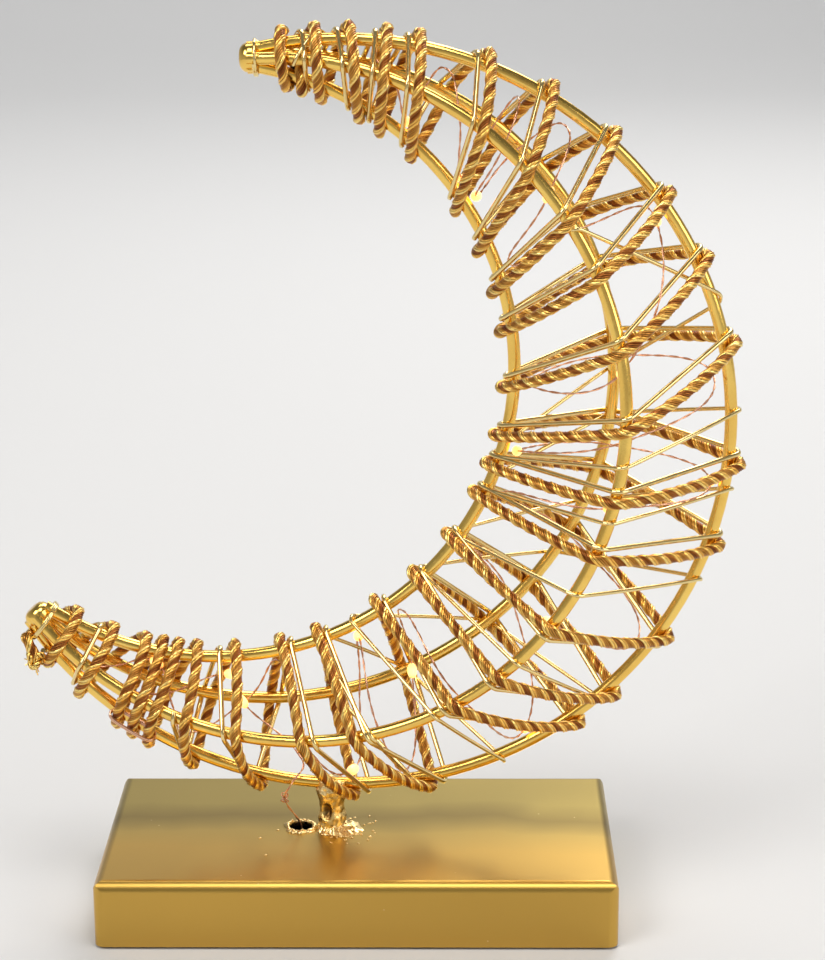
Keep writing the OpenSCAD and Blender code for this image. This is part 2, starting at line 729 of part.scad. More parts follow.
module switch_housing() {
    color([0.20, 0.20, 0.22]) translate([board_x, 0, 0]) difference() {
        slab(housing_l, housing_w, plate_top, board_low);
        slab(housing_l - 2 * housing_wall, housing_w - 2 * housing_wall,
            plate_top + housing_floor, plate_top + housing_floor + cavity_h);
        slab(slot_l, slot_w, plate_top - cut, plate_top + housing_floor + cut);
    }
}

module switch_slider() {
    block_low = plate_top + housing_floor + slide_clear;
    color([0.85, 0.85, 0.83]) translate([slider_x, 0, 0]) {
        slab(block_l, block_w, block_low, block_low + block_h);
        slab(lever_l, lever_w, lever_low, block_low + cut);
    }
}

module lead_wires() {
    pad_x = board_x + board_l / 2 - lead_d;
    wall_x = box_x - box_l / 2;
    color([0.60, 0.10, 0.10]) for (y = [-1, 1])
        tube([
            [pad_x, y * post_y, board_top],
            [pad_x, y * post_y, board_top + lead_d],
            [pad_x + lead_d, y * (post_y + lead_d), board_top + 2 * lead_d],
            [(pad_x + 2 * wall_x) / 3, y * cell_pitch / 2, board_top + lead_d],
            [wall_x - 2 * lead_d, y * cell_pitch, cell_z],
            [wall_x, y * cell_pitch, cell_z]], lead_d, 8);
}

// Stand
module support_post() {
    tall = rod_over_stud - base_h;
    color(gold) difference() {
        translate([stud_x, 0, base_h]) rotate_extrude() difference() {
            square([stud_r, tall]);
            translate([stud_r + stud_waist_r - stud_waist, (tall + weld_h) / 2 - rod_r / 2])
                circle(stud_waist_r, $fn = 180);
        }
        outer_rod_solid();
    }
}

module post_weld() {
    color(gold) difference() {
        translate([stud_x, 0, base_h]) rotate_extrude() difference() {
            translate([stud_r, 0]) square([weld_r - stud_r, weld_h]);
            translate([weld_r, weld_h]) circle(weld_r - stud_r - fit);
        }
        translate([string_hole_x, 0, base_h - cut])
            cylinder(r = string_hole_d / 2 + collar_w + fit, h = weld_h + 2 * cut);
    }
}

module saddle_braze() {
    color(gold) difference() {
        intersection() {
            translate([stud_x, 0, rod_over_stud - braze_drop]) sphere(braze_r);
            translate([stud_x, 0, 0])
                slab(4 * braze_r, 4 * braze_r, base_h + weld_h, rod_over_stud + braze_top);
        }
        translate([stud_x, 0, base_h]) cylinder(r = stud_r, h = rod_over_stud - base_h);
        outer_rod_solid();
    }
}

// Rods of the crescent
module rod_arc(r, from, to) {
    rotate([90, 0, 0]) rotate(from) rotate_extrude(angle = to - from, $fn = rod_fn)
        translate([r, 0]) circle(rod_r, $fn = 32);
}

function trimmed(a, r) = lower_trim / r * 180 / PI - a;

// The tip's axis: along the bundle, away from the rods.
module at_tip(upper) {
    in_crescent() mirror([0, 0, upper ? 0 : 1])
        translate([0, 0, half_spacing]) rotate([0, -tip_angle, 0]) children();
}

// The straight run of one rod past its bend, at its place in the bundle.
module rod_run(turn) {
    at_tip(true) rotate(turn) translate([bundle_off, 0, 0]) {
        cylinder(upper_run, rod_r, rod_r, $fn = 32);
        sphere(elbow_r, $fn = 32);
    }
}

module outer_rod_solid() {
    in_crescent() translate([outer_u, 0, 0]) rod_arc(outer_r, trimmed(outer_a, outer_r), outer_a);
    rod_run(0);
}

module inner_rod_solid() {
    in_crescent() translate([inner_u, 0, 0]) rod_arc(inner_r, trimmed(inner_a, inner_r), inner_a);
    rod_run(180);
}

module side_rod_solid(side) {
    in_crescent() translate([0, side * bundle_off, 0]) rotate(side * side_tilt)
        translate([side_u, 0, 0]) rod_arc(side_r, trimmed(side_a, side_r), side_a);
    rod_run(side * 90);
}

module outer_rod() {
    color(gold) outer_rod_solid();
}

module inner_rod() {
    color(gold) inner_rod_solid();
}

module front_rod() {
    color(gold) side_rod_solid(-1);
}

module back_rod() {
    color(gold) side_rod_solid(1);
}

module tip_cap(upper) {
    to_ends = upper ? upper_run : -lower_trim;
    from = to_ends - cap_skirt;
    nose = to_ends + cap_l;
    color(gold) difference() {
        at_tip(upper) translate([0, 0, from]) rotate_extrude() {
            square([cap_r, nose - from - cap_nose_r]);
            square([cap_r - cap_nose_r, nose - from]);
            intersection() {
                translate([cap_r - cap_nose_r, nose - from - cap_nose_r]) circle(cap_nose_r);
                square([cap_r, nose - from]);
            }
        }
        outer_rod_solid();
        inner_rod_solid();
        side_rod_solid(-1);
        side_rod_solid(1);
    }
}

module upper_tip_cap() {
    tip_cap(true);
}

module lower_tip_cap() {
    tip_cap(false);
}

// Windings
module rope_winding() {
    color(bronze) in_crescent() wound_tube("rope winding", rope_line, rope_d, 8, tube_side_count);
}

module rope_binding() {
    color(copper) in_crescent() wound_tube("rope binding", binding_line, binding_d, 6, thin_side_count);
}

module wire_winding() {
    color(gold) in_crescent() wound_tube("wire winding", wire_line, wire_d, 6, thin_side_count);
}

module wire_tail() {
    color(gold) in_crescent() wound_tube("wire tail", wire_tail_line, wire_d, 6, thin_side_count);
}

// Lamps
module light_string() {
    color(copper) wound_tube("lamp string", string_line, string_d, 6, string_side_count);
}

module led_beads() {
    color([1, 0.93, 0.70]) for (i = bead_quarter_turns) {
        way = unit(bulged(i) - bulged(i - 1));
        translate(stop_at(i)) rotate([0, acos(way[2]), atan2(way[1], way[0])]) {
            for (z = [-1, 1]) translate([0, 0, z * (bead_l - bead_d) / 2]) sphere(d = bead_d);
            cylinder(d = bead_d, h = bead_l - bead_d, center = true);
        }
    }
}

base_shell();
corner_brackets();
base_plate();
foam_pad();
plate_screws();
battery_box();
battery_door();
battery_cells();
contact_plates();
contact_springs();
circuit_board();
resistor();
switch_housing();
switch_slider();
lead_wires();
support_post();
post_weld();
saddle_braze();
outer_rod();
inner_rod();
front_rod();
back_rod();
upper_tip_cap();
lower_tip_cap();
rope_winding();
rope_binding();
wire_winding();
wire_tail();
light_string();
led_beads();
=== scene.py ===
"""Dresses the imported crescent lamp: rods, rope, wires, lamps, stand and base, in a plain studio."""
import logging
import math
import random
from dataclasses import dataclass
from enum import Enum
from typing import Callable, Iterable, Sequence

import bmesh
import bpy
from mathutils import Matrix, Vector, noise


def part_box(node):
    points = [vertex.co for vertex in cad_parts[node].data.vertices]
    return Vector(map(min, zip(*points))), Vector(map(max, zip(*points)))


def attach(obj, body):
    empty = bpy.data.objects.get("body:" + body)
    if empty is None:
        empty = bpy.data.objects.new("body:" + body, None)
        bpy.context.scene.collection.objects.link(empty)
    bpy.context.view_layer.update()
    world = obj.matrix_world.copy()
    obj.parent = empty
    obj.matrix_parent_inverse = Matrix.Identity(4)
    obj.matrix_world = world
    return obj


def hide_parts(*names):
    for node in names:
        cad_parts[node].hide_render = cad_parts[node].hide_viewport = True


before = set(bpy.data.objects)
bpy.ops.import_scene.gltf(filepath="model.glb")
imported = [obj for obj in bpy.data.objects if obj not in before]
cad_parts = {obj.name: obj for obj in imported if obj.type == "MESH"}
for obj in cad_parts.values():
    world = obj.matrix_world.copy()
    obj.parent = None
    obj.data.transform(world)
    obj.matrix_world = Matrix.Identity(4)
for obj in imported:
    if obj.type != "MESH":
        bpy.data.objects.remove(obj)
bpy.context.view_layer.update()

MM = 0.001
ROOT = "ornament"
log = logging.getLogger("crescent_lamp")

# Sizes that more than one sub-assembly uses, in millimetres
BASE_H = 20.5
HOLE_X = -17.5
BOARD_TOP = 9.2

Triple = tuple[float, float, float]
Colour = Triple
Flat = tuple[float, float]
Waves = tuple[Triple, ...]
Line = list[Vector]
Piece = bpy.types.Object
Shape = bmesh.types.BMesh
Socket = bpy.types.NodeSocket
Feeds = dict[str, object]


class Quarter(Enum):
    """Places round the cage, in the order in which the rope passes them."""

    OUTER = 0
    FRONT = 1
    INNER = 2
    BACK = 3

    def after(self, steps: int = 1) -> "Quarter":
        """Returns the quarter that lies some steps further round."""
        return Quarter((self.value + steps) % len(Quarter))


class Hand(Enum):
    """Which way something is wound round the cage, seen from the upper tip."""

    WITH_ROPE = 1
    AGAINST_ROPE = -1


class Tip(Enum):
    """The two ends of the crescent, by their side of its middle."""

    UPPER = 1
    LOWER = -1


# Node trees


class NodeSketch:
    """Adds and links nodes in one shader tree or geometry tree."""

    def __init__(self, tree: bpy.types.NodeTree) -> None:
        """Keeps the tree that the nodes go into."""
        self.tree = tree

    def feed(self, socket: Socket, value: object) -> None:
        """Links a socket to another, or sets its value.

        Args:
            socket: the input socket.
            value: an output socket, or a plain value.
        """
        if isinstance(value, Socket):
            self.tree.links.new(value, socket)
        else:
            socket.default_value = value

    def node(self, kind: str, feeds: dict[object, object] | None = None,
             **settings: object) -> bpy.types.Node:
        """Adds one node.

        Args:
            kind: the node's type name.
            feeds: what goes into its inputs, by name or number.
            settings: the node's own settings.

        Returns:
            The new node.
        """
        made = self.tree.nodes.new(kind)
        for name, value in settings.items():
            setattr(made, name, value)
        for name, value in (feeds or {}).items():
            self.feed(made.inputs[name], value)
        return made

    def math(self, operation: str, first: object, second: object = 0.0) -> Socket:
        """Returns the result of one sum on two numbers."""
        return self.node("ShaderNodeMath", {0: first, 1: second}, operation=operation).outputs[0]

    def vector(self, operation: str, first: object, second: object, out: str = "Vector") -> Socket:
        """Returns the result of one sum on two vectors."""
        return self.node("ShaderNodeVectorMath", {0: first, 1: second}, operation=operation).outputs[out]


class ShaderSketch(NodeSketch):
    """Common steps of a surface's look."""

    def place(self, scale: Sequence[float] = (1, 1, 1), centre: Sequence[float] = (0, 0, 0)) -> Socket:
        """Returns the object's own coordinates, moved to a centre in metres and stretched."""
        coordinates = self.node("ShaderNodeTexCoord").outputs["Object"]
        return self.vector("MULTIPLY", self.vector("SUBTRACT", coordinates, tuple(centre)), tuple(scale))

    def axis(self, vector: Socket, name: str) -> Socket:
        """Returns one coordinate of a vector."""
        return self.node("ShaderNodeSeparateXYZ", {0: vector}).outputs[name]

    def lengthwise(self, along_scale: float, round_scale: float) -> Socket:
        """Places a pattern along a drawn piece by its stored attributes.

        Args:
            along_scale: repeats for each metre of its length.
            round_scale: repeats in one turn round it.

        Returns:
            The vector socket.
        """
        return self.node("ShaderNodeCombineXYZ", {
            "X": self.math("MULTIPLY", self.attribute("along"), along_scale),
            "Y": self.math("MULTIPLY", self.attribute("around"), round_scale),
            "Z": self.math("MULTIPLY", self.attribute("strand"), 3.7)}).outputs[0]

    def attribute(self, name: str) -> Socket:
        """Returns a stored number of the mesh."""
        return self.node("ShaderNodeAttribute", attribute_name=name).outputs["Fac"]

    def noise(self, vector: Socket, scale: float, detail: float = 3.0) -> Socket:
        """Returns cloudy noise from 0 to 1 at a vector."""
        return self.node("ShaderNodeTexNoise", {
            "Vector": vector, "Scale": scale, "Detail": detail, "Roughness": 0.55}).outputs["Fac"]

    def cells(self, vector: Socket, scale: float) -> Socket:
        """Returns the distance to the nearest cell point at a vector."""
        return self.node("ShaderNodeTexVoronoi", {"Vector": vector, "Scale": scale}).outputs["Distance"]

    def spread(self, value: object, low: float, high: float,
               to_low: float = 0.0, to_high: float = 1.0) -> Socket:
        """Maps one range of a number onto another, with its ends held."""
        return self.node("ShaderNodeMapRange", {"Value": value, "From Min": low, "From Max": high,
                                                "To Min": to_low, "To Max": to_high}).outputs["Result"]

    def blend(self, factor: object, first: object, second: object) -> Socket:
        """Returns a mix of two colours: 0 is the first and 1 the second."""
        feeds = {0: factor, 6: opaque(first), 7: opaque(second)}
        return self.node("ShaderNodeMix", feeds, data_type="RGBA").outputs[2]

    def bump(self, height: Socket, depth_mm: float, strength: float = 1.0) -> Socket:
        """Turns a height from 0 to 1 into a surface normal of a real depth."""
        return self.node("ShaderNodeBump", {
            "Height": height, "Distance": depth_mm * MM, "Strength": strength}).outputs["Normal"]


def opaque(colour: object) -> object:
    """Adds full opacity to a plain colour and leaves a socket or a number alone."""
    return (*colour, 1.0) if isinstance(colour, tuple) and len(colour) == 3 else colour


# Finishes


@dataclass(frozen=True)
class Finish:
    """One surface finish. Its subclasses say how its nodes are laid out."""

    name: str

    def look(self, sketch: ShaderSketch) -> Feeds:
        """Lays out the surface's nodes and returns what goes into the shader's sockets."""
        raise NotImplementedError

    def material(self) -> bpy.types.Material:
        """Finds this finish's material, or builds it.

        Returns:
            The material.
        """
        known = bpy.data.materials.get(self.name)
        if known:
            return known
        made = bpy.data.materials.new(self.name)
        made.use_nodes = True
        made.node_tree.nodes.clear()
        sketch = ShaderSketch(made.node_tree)
        surface = sketch.node("ShaderNodeBsdfPrincipled")
        for socket, value in self.look(sketch).items():
            sketch.feed(surface.inputs[socket], opaque(value))
        sketch.node("ShaderNodeOutputMaterial", {"Surface": surface.outputs[0]})
        return made


@dataclass(frozen=True)
class Grain:
    """A pattern on a piece's own coordinates, or along it where round_scale is given."""

    scale: float
    detail: float = 2.0
    stretch: Colour = (1.0, 1.0, 1.0)
    round_scale: float = 0.0
    pores: bool = False

    def value(self, sketch: ShaderSketch) -> Socket:
        """Adds the pattern's nodes.

        Args:
            sketch: the material's tree.

        Returns:
            The pattern's number.
        """
        if self.round_scale:
            return sketch.noise(sketch.lengthwise(self.scale, self.round_scale), 1.0, self.detail)
        place = sketch.place(self.stretch)
        return sketch.cells(place, self.scale) if self.pores else sketch.noise(place, self.scale, self.detail)


@dataclass(frozen=True)
class TwoTone(Finish):
    """Two colours in a broad pattern, with a fine one in the gloss and the relief.

    Where second is left out, tint says what the first colour is multiplied by and what is added.
    """

    colour: Colour = (0.5, 0.5, 0.5)
    second: Colour | None = None
    roughness: float = 0.3
    rougher: float = 0.1
    tint: Flat = (1.0, 0.0)
    broad: Grain = Grain(100.0)
    fade: Flat = (0.35, 0.75)
    fine: Grain = Grain(1000.0)
    fine_range: Flat = (0.3, 0.7)
    relief: Flat = (0.0, 0.0)
    stored: str = ""
    metallic: float = 1.0
    coat: float = 0.0
    sheen: float = 0.0

    def look(self, sketch: ShaderSketch) -> Feeds:
        """Lays out both patterns.

        Args:
            sketch: the material's tree.

        Returns:
            What goes into each socket of the surface shader.
        """
        second = self.second or tuple(min(1.0, c * self.tint[0] + self.tint[1]) for c in self.colour)
        share = sketch.spread(self.broad.value(sketch), *self.fade)
        # A stored mask pushes towards the second colour; the stud uses it for painted shade in its hollow.
        if self.stored:
            share = sketch.math("MAXIMUM", share, sketch.attribute(self.stored))
        fine = self.fine.value(sketch)
        feeds = {
            "Base Color": sketch.blend(share, self.colour, second),
            "Roughness": sketch.spread(fine, *self.fine_range, self.roughness,
                                       min(1.0, self.roughness + self.rougher)),
            "Metallic": self.metallic, "Coat Weight": self.coat, "Sheen Weight": self.sheen}
        if self.relief[0]:
            feeds["Normal"] = sketch.bump(fine, *self.relief)
        return feeds


@dataclass(frozen=True)
class PolishedGold(TwoTone):
    """Bright plated rod or wire, with faint drawing marks and small rubs."""

    colour: Colour = (1.0, 0.68, 0.17)
    second: Colour = (0.90, 0.54, 0.11)
    roughness: float = 0.12
    rougher: float = 0.14
    broad: Grain = Grain(70.0, 4.0)
    fine: Grain = Grain(900.0)
    fine_range: Flat = (0.3, 0.8)
    relief: Flat = (0.012, 0.5)


@dataclass(frozen=True)
class CastGold(TwoTone):
    """Lumpy plated weld or braze with dark pits, and painted shade that darkens its hollows."""

    colour: Colour = (0.98, 0.68, 0.24)
    second: Colour = (0.22, 0.12, 0.035)
    roughness: float = 0.2
    rougher: float = 0.22
    broad: Grain = Grain(600.0, 3.0)
    fade: Flat = (0.64, 0.74)
    fine: Grain = Grain(800.0, 4.0)
    relief: Flat = (0.25, 0.6)
    # The stored hollow depth blends in the dark second colour as painted shade in the stud's hollow.
    stored: str = "hollow"


@dataclass(frozen=True)
class StrandMetal(TwoTone):
    """One kind of twisted strand, with painted shade darker towards the middle of the rope."""

    rougher: float = 0.16
    broad: Grain = Grain(90.0, round_scale=1.0)
    fade: Flat = (0.35, 0.65)
    fine: Grain = Grain(260.0, 3.0, round_scale=7.0)
    relief: Flat = (0.12, 0.7)
    # The shade colour and its depth range are painted shade between the strands.
    shade: Colour = (0.10, 0.045, 0.015)
    shaded: Flat = (0.56, 0.94)

    def look(self, sketch: ShaderSketch) -> Feeds:
        """Lays out the strand's patterns and the painted shade between strands.

        Args:
            sketch: the material's tree.

        Returns:
            What goes into each socket of the surface shader.
        """
        feeds = super().look(sketch)
        # Painted shade: the strand fades to its shade colour towards the rope's middle, between the other
        # strands.
        outward = sketch.spread(sketch.attribute("depth"), *self.shaded)
        return feeds | {"Base Color": sketch.blend(outward, self.shade, feeds["Base Color"])}


@dataclass(frozen=True)
class Enamelled(TwoTone):
    """Thin copper wire under clear enamel."""

    colour: Colour = (0.90, 0.45, 0.26)
    second: Colour = (0.62, 0.26, 0.12)
    roughness: float = 0.18
    rougher: float = 0.12
    broad: Grain = Grain(120.0, round_scale=1.0)
    fade: Flat = (0.4, 0.7)
    fine: Grain = Grain(120.0, round_scale=1.0)
    coat: float = 0.4


@dataclass(frozen=True)
class Moulded(TwoTone):
    """Moulded plastic or rubber with a fine grain and faint clouds."""

    colour: Colour = (0.03, 0.03, 0.033)
    roughness: float = 0.5
    rougher: float = 0.12
    tint: Flat = (1.35, 0.01)
    broad: Grain = Grain(90.0)
    fine: Grain = Grain(2500.0)
    relief: Flat = (0.03, 0.6)
    metallic: float = 0.0


@dataclass(frozen=True)
class CellFoam(TwoTone):
    """Closed-cell foam with open pores at its cut faces, and dust."""

    colour: Colour = (0.035, 0.035, 0.038)
    second: Colour = (0.06, 0.06, 0.064)
    roughness: float = 0.98
    rougher: float = -0.12
    broad: Grain = Grain(120.0, 3.0)
    fade: Flat = (0.5, 0.9)
    fine: Grain = Grain(1400.0, pores=True)
    fine_range: Flat = (0.0, 0.6)
    relief: Flat = (0.16, 0.7)
    metallic: float = 0.0
    sheen: float = 0.2


@dataclass(frozen=True)
class Plated(TwoTone):
    """Nickel or zinc plate on small steel parts, with stains and fine scratches."""

    rougher: float = 0.18
    tint: Flat = (0.72, 0.0)
    broad: Grain = Grain(150.0)
    fade: Flat = (0.45, 0.75)
    fine: Grain = Grain(260.0, 3.0, (1.0, 12.0, 1.0))
    relief: Flat = (0.01, 0.4)


@dataclass(frozen=True)
class SheetGold(Finish):
    """Plated sheet with soft reflections, cloudy plating, a painted reflection across it (orange in front,
    dull green-gold behind, with a dark band) and fine specks.
    """

    colour: Colour = (0.60, 0.37, 0.08)
    # The next two colours and the band's place, width and wander set a painted reflection across the top.
    reflected_olive: Colour = (0.42, 0.31, 0.085)
    band: Colour = (0.25, 0.17, 0.045)
    speck: Colour = (0.95, 0.78, 0.42)
    roughness: float = 0.27
    reflection_band_y: float = 6.0
    reflection_band_width: float = 11.0
    reflection_band_wander: float = 5.0

    def look(self, sketch: ShaderSketch) -> Feeds:
        """Lays out the plating's tones across the sheet.

        Args:
            sketch: the material's tree.

        Returns:
            What goes into each socket of the surface shader.
        """
        place = sketch.place()
        cloud = sketch.noise(place, 16.0)
        # Painted reflection: orange in front fades to dull green-gold behind, and a dark band lies across the
        # back.
        middle, wide, wander = self.reflection_band_y * MM, self.reflection_band_width * MM, self.reflection_band_wander * MM
        across = sketch.math("ADD", sketch.axis(place, "Y"), sketch.spread(cloud, 0.3, 0.7, -wander, wander))
        tone = sketch.blend(sketch.spread(across, middle - 2 * wide, middle), self.colour, self.reflected_olive)
        off = sketch.math("ABSOLUTE", sketch.math("SUBTRACT", across, middle))
        tone = sketch.blend(sketch.spread(off, 0.0, wide, 0.75, 0.0), tone, self.band)
        specks = sketch.spread(sketch.cells(place, 260.0), 0.02, 0.08, 1.0, 0.0)
        sparse = sketch.math("MULTIPLY", specks, sketch.spread(sketch.noise(place, 60.0), 0.6, 0.64))
        return {
            "Base Color": sketch.blend(sparse, tone, self.speck),
            "Metallic": 1.0,
            "Roughness": sketch.spread(cloud, 0.3, 0.7, self.roughness, self.roughness + 0.08),
            "Normal": sketch.bump(sketch.noise(place, 420.0, 2.0), 0.012, 0.3),
        }


@dataclass(frozen=True)
class LampResin(Finish):
    """Drop of clear resin over a lit chip: pale in the middle and amber towards its ends."""

    resin: Colour = (1.0, 0.86, 0.6)
    middle: Colour = (1.0, 0.62, 0.14)
    ends: Colour = (1.0, 0.30, 0.02)
    strength: float = 1.9

    def look(self, sketch: ShaderSketch) -> Feeds:
        """Lays out the glow and the resin's skin.

        Args:
            sketch: the material's tree.

        Returns:
            What goes into each socket of the surface shader.
        """
        swirl = sketch.noise(sketch.place(), 500.0, 2.0)
        edge = sketch.math("MULTIPLY", sketch.attribute("end"), sketch.spread(swirl, 0.2, 0.8, 0.85, 1.15))
        return {
            "Base Color": self.resin,
            "Roughness": sketch.spread(swirl, 0.3, 0.7, 0.06, 0.12),
            "Emission Color": sketch.blend(sketch.spread(edge, 0.35, 1.0), self.middle, self.ends),
            "Emission Strength": self.strength,
        }


@dataclass(frozen=True)
class Paper(Finish):
    """Plain matt studio paper."""

    colour: Colour = (0.70, 0.70, 0.70)

    def look(self, sketch: ShaderSketch) -> Feeds:
        """Returns one plain matt colour."""
        return {"Base Color": self.colour, "Roughness": 0.9, "Specular IOR Level": 0.2}


@dataclass(frozen=True)
class CellWrap(Finish):
    """Plain dark film round a dry cell, with bare metal at its ends and pale bands."""

    middle_x: float
    half_length: float
    film: Colour = (0.03, 0.05, 0.09)
    band: Colour = (0.62, 0.58, 0.48)
    metal: Colour = (0.72, 0.71, 0.69)

    def look(self, sketch: ShaderSketch) -> Feeds:
        """Lays out the film, its bands and the bare ends.

        Args:
            sketch: the material's tree.

        Returns:
            What goes into each socket of the surface shader.
        """
        place = sketch.place(centre=(self.middle_x, 0.0, 0.0))
        out = sketch.math("DIVIDE", sketch.math("ABSOLUTE", sketch.axis(place, "X")), self.half_length)
        bare = sketch.spread(out, 0.955, 0.96)
        wrapped = sketch.blend(sketch.spread(out, 0.70, 0.705), self.film, self.band)
        return {
            "Base Color": sketch.blend(bare, wrapped, self.metal),
            "Metallic": bare,
            "Roughness": sketch.spread(sketch.noise(place, 200.0, 2.0), 0.3, 0.7, 0.22, 0.36),
            "Coat Weight": 0.3,
        }


@dataclass(frozen=True)
class BoardLacquer(Finish):
    """Green lacquer over copper tracks."""

    lacquer: Colour = (0.015, 0.10, 0.035)
    track: Colour = (0.03, 0.17, 0.06)

    def look(self, sketch: ShaderSketch) -> Feeds:
        """Lays out the tracks.

        Args:
            sketch: the material's tree.

        Returns:
            What goes into each socket of the surface shader.
        """
        waves = sketch.node("ShaderNodeTexWave", {
            "Vector": sketch.place(), "Scale": 130.0, "Distortion": 4.0, "Detail": 1.0}).outputs["Fac"]
        tracks = sketch.spread(waves, 0.55, 0.6)
        return {
            "Base Color": sketch.blend(tracks, self.lacquer, self.track),
            "Roughness": sketch.spread(waves, 0.0, 1.0, 0.2, 0.28),
            "Coat Weight": 0.5,
            "Normal": sketch.bump(tracks, 0.04, 0.5),
        }


@dataclass(frozen=True)
class BandedBody(Finish):
    """Tan resistor body with plain colour bands and bare legs."""

    length: float
    body: Colour = (0.62, 0.46, 0.27)
    band: Colour = (0.22, 0.05, 0.03)
    metal: Colour = (0.7, 0.69, 0.67)
    pitch: float = 0.09

    def look(self, sketch: ShaderSketch) -> Feeds:
        """Lays out the bands and the bare legs.

        Args:
            sketch: the material's tree.

        Returns:
            What goes into each socket of the surface shader.
        """
        place = sketch.place((1.0, 1.0 / self.length, 1.0))
        y = sketch.axis(place, "Y")
        stripes = sketch.math("PINGPONG", sketch.math("ADD", y, 0.5), self.pitch)
        legs = sketch.spread(sketch.math("ABSOLUTE", y), 0.5, 0.51)
        painted = sketch.blend(sketch.spread(stripes, 0.055, 0.06), self.body, self.band)
        return {
            "Base Color": sketch.blend(legs, painted, self.metal),
            "Metallic": legs,
            "Roughness": sketch.spread(sketch.noise(place, 400.0), 0.3, 0.7, 0.35, 0.5),
        }


def strand(name: str, colour: Colour, glint: Colour, shade: Colour, roughness: float) -> StrandMetal:
    """Returns the finish of one kind of strand: its colour, its bright patches, its painted shade between
    strands and its gloss.
    """
    return StrandMetal(name, colour, glint, roughness, shade=shade)


def sleeve(name: str, colour: Colour) -> Moulded:
    """Returns the finish of a lead's smooth sleeve."""
    return Moulded(name, colour, roughness=0.4, fine=Grain(1500.0), relief=(0.01, 0.6))


ROD_GOLD = PolishedGold("rod_gold")
WIRE_GOLD = PolishedGold("wire_gold", (1.0, 0.75, 0.26), (0.94, 0.61, 0.16), 0.13)
SHEET_GOLD = SheetGold("sheet_gold")
CAST_GOLD = CastGold("cast_gold")
BURR_GOLD = CastGold("burr_gold", (0.98, 0.74, 0.34), (0.40, 0.24, 0.07), relief=(0.12, 0.6))
# Each strand's last colour is the painted shade that it fades to between strands.
ROPE_BRIGHT = strand("rope_bright_strand", (1.0, 0.60, 0.13), (1.0, 0.76, 0.26), (0.07, 0.028, 0.008), 0.2)
ROPE_PALE = strand("rope_pale_strand", (0.88, 0.46, 0.09), (1.0, 0.66, 0.18), (0.05, 0.02, 0.006), 0.22)
# The golden and copper fine strands are darker than their own copper tone too, as painted shade for lying
# deep between the thick strands.
ROPE_GOLDEN = strand("rope_golden_strand", (0.62, 0.26, 0.05), (0.94, 0.48, 0.11), (0.03, 0.012, 0.004), 0.26)
ROPE_COPPER = strand("rope_copper_strand", (0.34, 0.10, 0.024), (0.72, 0.27, 0.065),
                     (0.02, 0.008, 0.003), 0.28)
# The core's near-black colour is painted shade, seen through the gaps between the strands.
ROPE_SHADE_CORE = Moulded("rope_core_shade", (0.03, 0.014, 0.006), roughness=0.9, fine=Grain(1800.0),
                    relief=(0.08, 0.6))
FAIRY_COPPER = Enamelled("fairy_copper")
RESIN_LIT = LampResin("lamp_resin_lit")
BLACK_PLASTIC = Moulded("black_plastic")
SWITCH_PLASTIC = Moulded("switch_plastic", (0.022, 0.022, 0.024), roughness=0.38)
SLIDER_PLASTIC = Moulded("slider_plastic", (0.68, 0.68, 0.64), roughness=0.42)
RED_SLEEVE = sleeve("red_sleeve", (0.32, 0.015, 0.012))
BLACK_SLEEVE = sleeve("black_sleeve", (0.02, 0.02, 0.021))
PAD_FOAM = CellFoam("pad_foam")
SCREW_PLATE = Plated("screw_plate", (0.62, 0.61, 0.58), roughness=0.24)
BRACKET_PLATE = Plated("bracket_plate", (0.55, 0.55, 0.53), roughness=0.4)
CONTACT_NICKEL = Plated("contact_nickel", (0.74, 0.72, 0.66), roughness=0.22)
GREEN_BOARD = BoardLacquer("board_lacquer")


# Grown meshes


